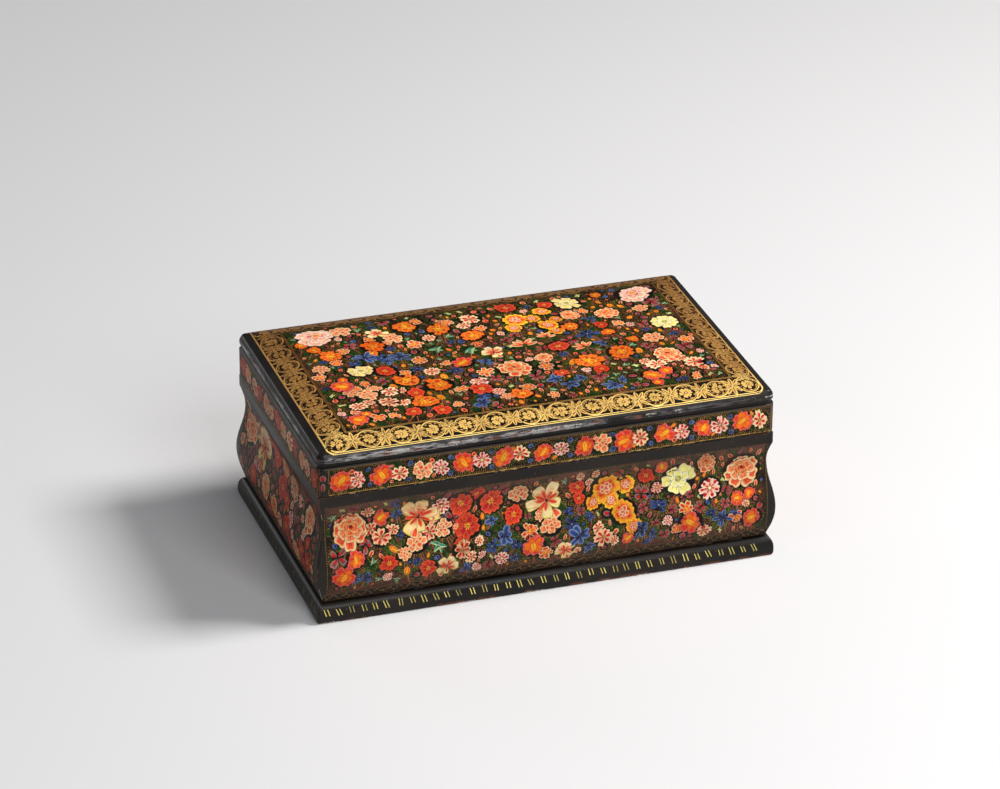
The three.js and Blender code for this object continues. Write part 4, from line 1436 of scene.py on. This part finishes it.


# Fascia of the lid: a row of flowers between gold lines, on each side
# On the left the paint is drawn towards a dark red-brown as painted shade and sheen; elsewhere a little
# towards grey-brown as painted sheen.
fascia = dict(low=90.1, high=107.8, end=7.0, rightEnd=2.6, unit=26.0, first=7, radii=(7.3, 6.4),
              away=5.4, pods=(102, 95.5), haze=(0.25, 0.5, "haze"), veil=(0, 0.14), chips=0.35,
              leftChipsAndSheen=0.9)
chips = dict(end=2, length=(0.8, 4.5), width=(0.2, 0.5), tone=(0.3, 1.2), wander=0.12)


def flatReach(height):
    return 0.0 * height


def drawChips(art, half, height, amount):
    # pale broken line where a worn arris shows bare wood
    random = art.random
    count = int(half * amount)
    x = random.uniform(-half + chips["end"], half - chips["end"], count)
    art.dab("coarse", "earth", "tan", "cream", x=x, y=height + random.normal(0, chips["wander"], count),
            lift=0.04, length=random.uniform(*chips["length"], count),
            width=random.uniform(*chips["width"], count), tone=random.uniform(*chips["tone"], count))


def fasciaKind(side, index):
    if side == "left":
        return ("poppy", "rose", "blossom")[index % 3]
    if index % 9 == 4:
        return "creamRose"
    return "blossom" if index % 6 == 3 else ("sunOrange", "spotted")[index % 2]


def paintFascia(side, seed):
    half = sides[side]["length"] / 2
    left, right = -half + fascia["end"], half - fascia["rightEnd"]
    low, high = fascia["low"], fascia["high"]
    age = veil(low, high, *fascia["haze" if side == "left" else "veil"])
    art = Painting(seed, ((-half - 0.5, railFoot + 0.1), (half + 0.5, high + 0.5)), age)
    random = art.random
    ground = Painting(seed + 1, ((left, low), (right, high)))
    ground.wash([("black", "forest"), ("black", "forest")])
    art.bands += ground.bands
    count = int((right - left) * 1.1)
    drawTendrils(art, (left, low + 0.5), (right, high - 0.5), count, "darkGold", (2, 5))
    drawComb(art, left, right, high - 0.3, -2.6, spacing=1.9, curl=3.2)
    drawComb(art, left, right, low + 0.4, 1.6)
    run = np.linspace(left, right, int((right - left) / 1.2))
    art.giltLine(run, low, 0.5, "gold", np.clip(random.normal(0.62, 0.3, len(run)), 0.06, 1.15), 0.03)
    art.giltLine(run, high, 0.3, "oldGold", 0.7, 0.03)
    for x in (left, right):
        art.giltLine(x, np.linspace(low, high, 12), 0.35, "oldGold", lift=0.03)
    middle = (low + high) / 2
    count = int((right - left - 4) / (fascia["unit"] / 2))
    step = (right - left - 2 * fascia["first"]) / (count - 1)
    for index in range(count):
        shift = 0.9 if index % 2 == 0 else -0.9
        x = left + fascia["first"] + step * index + shift + random.normal(0, 0.3)
        y = middle + random.normal(0, 0.5)
        radius = fascia["radii"][index % 2] * random.normal(1, 0.03)
        drawFlower(art, "clump", x, y, radius * 1.3, random.uniform(*anyTurn), 0.004, 0.9)
        drawTicks(art, x, y, radius)
        drawFlower(art, fasciaKind(side, index), x, y, radius, random.uniform(*anyTurn), 0.06)
        if index == count - 1:
            continue
        small = ["berry"] if index % 2 and side != "left" else ["bud", "orangeBud", "spot"]
        for way in (-1, 1):
            if index % 2 == 1 or way == 1 - 2 * (index // 2 % 2) or random.uniform() < 0.4:
                drawFlower(art, small[random.integers(len(small))], x + step / 2 + random.normal(0, 0.4),
                           middle + way * fascia["away"], random.uniform(2.1, 2.6),
                           random.uniform(*anyTurn), 0.09)
    if side == "front":
        for height in fascia["pods"]:
            drawFlower(art, "pod", -half + 3.2, height, 3.4, math.pi / 2, 0.02, 0.9, 0, 0.8)
    # more pale chips on the left: partly wear, partly a painted highlight along the lit arris
    drawChips(art, half, railFoot + 0.4, fascia["leftChipsAndSheen" if side == "left" else "chips"])
    art.lay(f"fascia_{side}", sideSurface(side, flatReach, rail["corner"]), "lid")


for index, side in enumerate(sides):
    paintFascia(side, 50 + 2 * index)


# Walls: a garden on each, over a narrow vine border
# On the left the paint is drawn towards a dark red-brown as painted shade and sheen; elsewhere towards
# grey-brown as painted sheen, most at the low and high edges.
garden = dict(low=20.2, high=80.6, end=5.6, vineLow=14.6, vineHigh=19.2, vineSwing=1.2, vineTurn=3.6,
              lineEnd=2.4, knotEnd=4, dotEnd=4.4, raised=2.5, grown=1.12, magnoliaGrown=1.25,
              haze=(0.26, 0.56, "haze"), veil=(0.02, 0.6), chips=0.25, leftChipsAndSheen=0.7)
gardenWash = [("earth", "dusk"), ("black", "forest"), ("black", "earth"), ("black", "forest"),
              ("black", "earth"), ("dusk", "mauve")]
redder = dict(iris="dusky", sunOrange="poppy", larkspur="dusky", creamRose="rose", blossom="poppy")
longBlooms = [
    ("rose", -131, 60, 11), ("magnolia", -86, 62, 10), ("creamRose", -88, 45, 6.5),
    ("creamRose", -70, 52, 6), ("poppy", -58, 67, 8), ("poppy", -38, 65, 8), ("poppy", -54, 51, 8),
    ("blossom", -111, 52, 6), ("blossom", -58, 36, 6.2), ("orangeBud", -103, 43, 4.5),
    ("curled", -73, 41, 5.5), ("iris", -30, 41, 7), ("sunOrange", -136, 29, 7), ("iris", -122, 27, 5.5),
    ("orangeBud", -95, 27, 4.4), ("magnolia", -1, 60, 10), ("creamRose", 1, 43, 6.5),
    ("sunOrange", -11, 31, 7.5), ("ruffled", 39, 62, 9), ("ruffled", 50, 45, 8),
    ("narcissus", 88, 61, 10), ("spotted", 109, 52, 7), ("rose", 131, 61, 11),
    ("sunOrange", 95, 31, 7.5), ("sunOrange", 137, 28, 6.5), ("iris", 20, 33, 7), ("iris", 62, 32, 6.5),
    ("larkspur", 74, 46, 6), ("iris", 117, 31, 6), ("blossom", 36, 30, 6), ("poppy", 66, 67, 5.5),
    ("poppy", 20, 66, 5),
]
shortBlooms = [
    ("rose", -68, 58, 10.5), ("magnolia", -38, 58, 11), ("poppy", -10, 66, 8), ("poppy", 8, 52, 8),
    ("creamRose", 30, 62, 8), ("rose", 66, 58, 10.5), ("sunOrange", -52, 33, 7.5),
    ("creamRose", -24, 38, 8), ("blossom", -40, 45, 6), ("sunOrange", 26, 34, 7.5),
    ("iris", 46, 44, 6.5), ("blossom", 60, 34, 6), ("creamRose", -2, 34, 6.5),
    ("sunOrange", 74, 32, 6), ("iris", -74, 34, 6),
]


def placedBlooms(side):
    # the right and back have the other two's blooms in mirror image, and the left has redder kinds
    mirror = -1 if side in ("back", "right") else 1
    swaps = redder if side == "left" else {}
    placed = []
    for kind, x, y, radius in shortBlooms if side in ("left", "right") else longBlooms:
        grown = garden["magnoliaGrown" if kind == "magnolia" else "grown"]
        placed.append((swaps.get(kind, kind), mirror * x, y + garden["raised"], radius * grown))
    return placed


def paintWall(side, seed):
    half = sides[side]["length"] / 2
    reach = half - garden["end"]
    low, high, vineLow, vineHigh = [garden[key] for key in ("low", "high", "vineLow", "vineHigh")]
    surface = sideSurface(side, wallReach, wall["corner"])
    age = veil(vineLow, high, *garden["haze" if side == "left" else "veil"])
    paintGarden(seed, f"wall_{side}", ((-reach, low), (reach, high)), surface, "body",
                placedBlooms(side), gardenWash, "left" if side == "left" else "wall", age)
    art = Painting(seed + 2, ((-half + 1.4, vineLow - 0.4), (half - 1.4, wallTop - 0.4)), age)
    random = art.random

    def vine(x):
        return (vineLow + vineHigh) / 2 + garden["vineSwing"] * np.sin(x * math.pi / garden["vineTurn"])

    run = np.linspace(-half + garden["lineEnd"], half - garden["lineEnd"], int(half * 3))
    for height in (vineLow, vineHigh, low - 0.2):
        art.giltLine(run, height, 0.3, "oldGold", 0.6)
    art.giltLine(run, vine(run), 0.32, "oldGold", 0.7)
    knots = np.arange(-half + garden["knotEnd"], half - garden["knotEnd"], 1.2)
    art.dab("coarse", "darkGold", "oldGold", "gold", x=knots, y=vine(knots), length=1.7, width=0.6,
            turn=random.uniform(*anyTurn, len(knots)), tipRound=1.6, lift=0.015, gilt=painting["gilt"],
            tone=0.7)
    drawComb(art, -reach, reach, high + 0.9, -1.8, 1.5)
    for x in (-half + garden["dotEnd"], half - garden["dotEnd"]):
        art.dab("coarse", "oldGold", "gold", x=x, y=np.arange(low, high, 1.5), length=0.7, width=0.5,
                gilt=painting["gilt"], lift=0.01, tone=0.6)
    # more pale chips on the left: partly wear, partly a painted highlight along the lit arris
    drawChips(art, half, wallTop - 0.9, garden["leftChipsAndSheen" if side == "left" else "chips"])
    art.lay(f"wall_{side}_lines", surface, "body")


for index, side in enumerate(sides):
    paintWall(side, 100 + 10 * index)


# Plinth: pairs of gold dashes over the rounded edge
dashes = dict(pitch=8.0, apart=2.2, width=0.62, low=5.4, high=10.3, lean=-0.3, margin=0.6, taper=0.3,
              gilt=0.2, leftPaintedShade=0.3)


def paintPlinth(side, seed):
    half = sides[side]["length"] / 2
    margin = dashes["margin"]
    art = Painting(seed, ((-half, dashes["low"] - margin), (half, dashes["high"] + margin)))
    random = art.random
    middles = np.arange(-half + 5, half - 4, dashes["pitch"])
    middles = middles + random.normal(0, 0.35, len(middles))
    turn = math.pi / 2 - dashes["lean"] + random.normal(0, 0.06, len(middles))
    # the dashes are dimmed on the left side as painted shade, where the sheen of light hides them
    bright = random.uniform(0.4, 1.0, len(middles)) * (dashes["leftPaintedShade"] if side == "left" else 1)
    low = dashes["low"] + random.uniform(-0.4, 0.6, len(middles))
    length = (dashes["high"] - low) * random.uniform(0.85, 1.05, len(middles))
    for way in (-0.5, 0.5):
        x = middles + way * dashes["apart"] + random.normal(0, 0.1, len(middles))
        art.line("fine", "lemon", x=x, y=low, turn=turn, gilt=dashes["gilt"], tone=bright, length=length,
                 width=dashes["width"], taper=dashes["taper"])
    art.lay(f"dashes_{side}", sideSurface(side, plinthReach, plinth["corner"]), "body")


for index, side in enumerate(sides):
    paintPlinth(side, 150 + index)
print("painting laid")
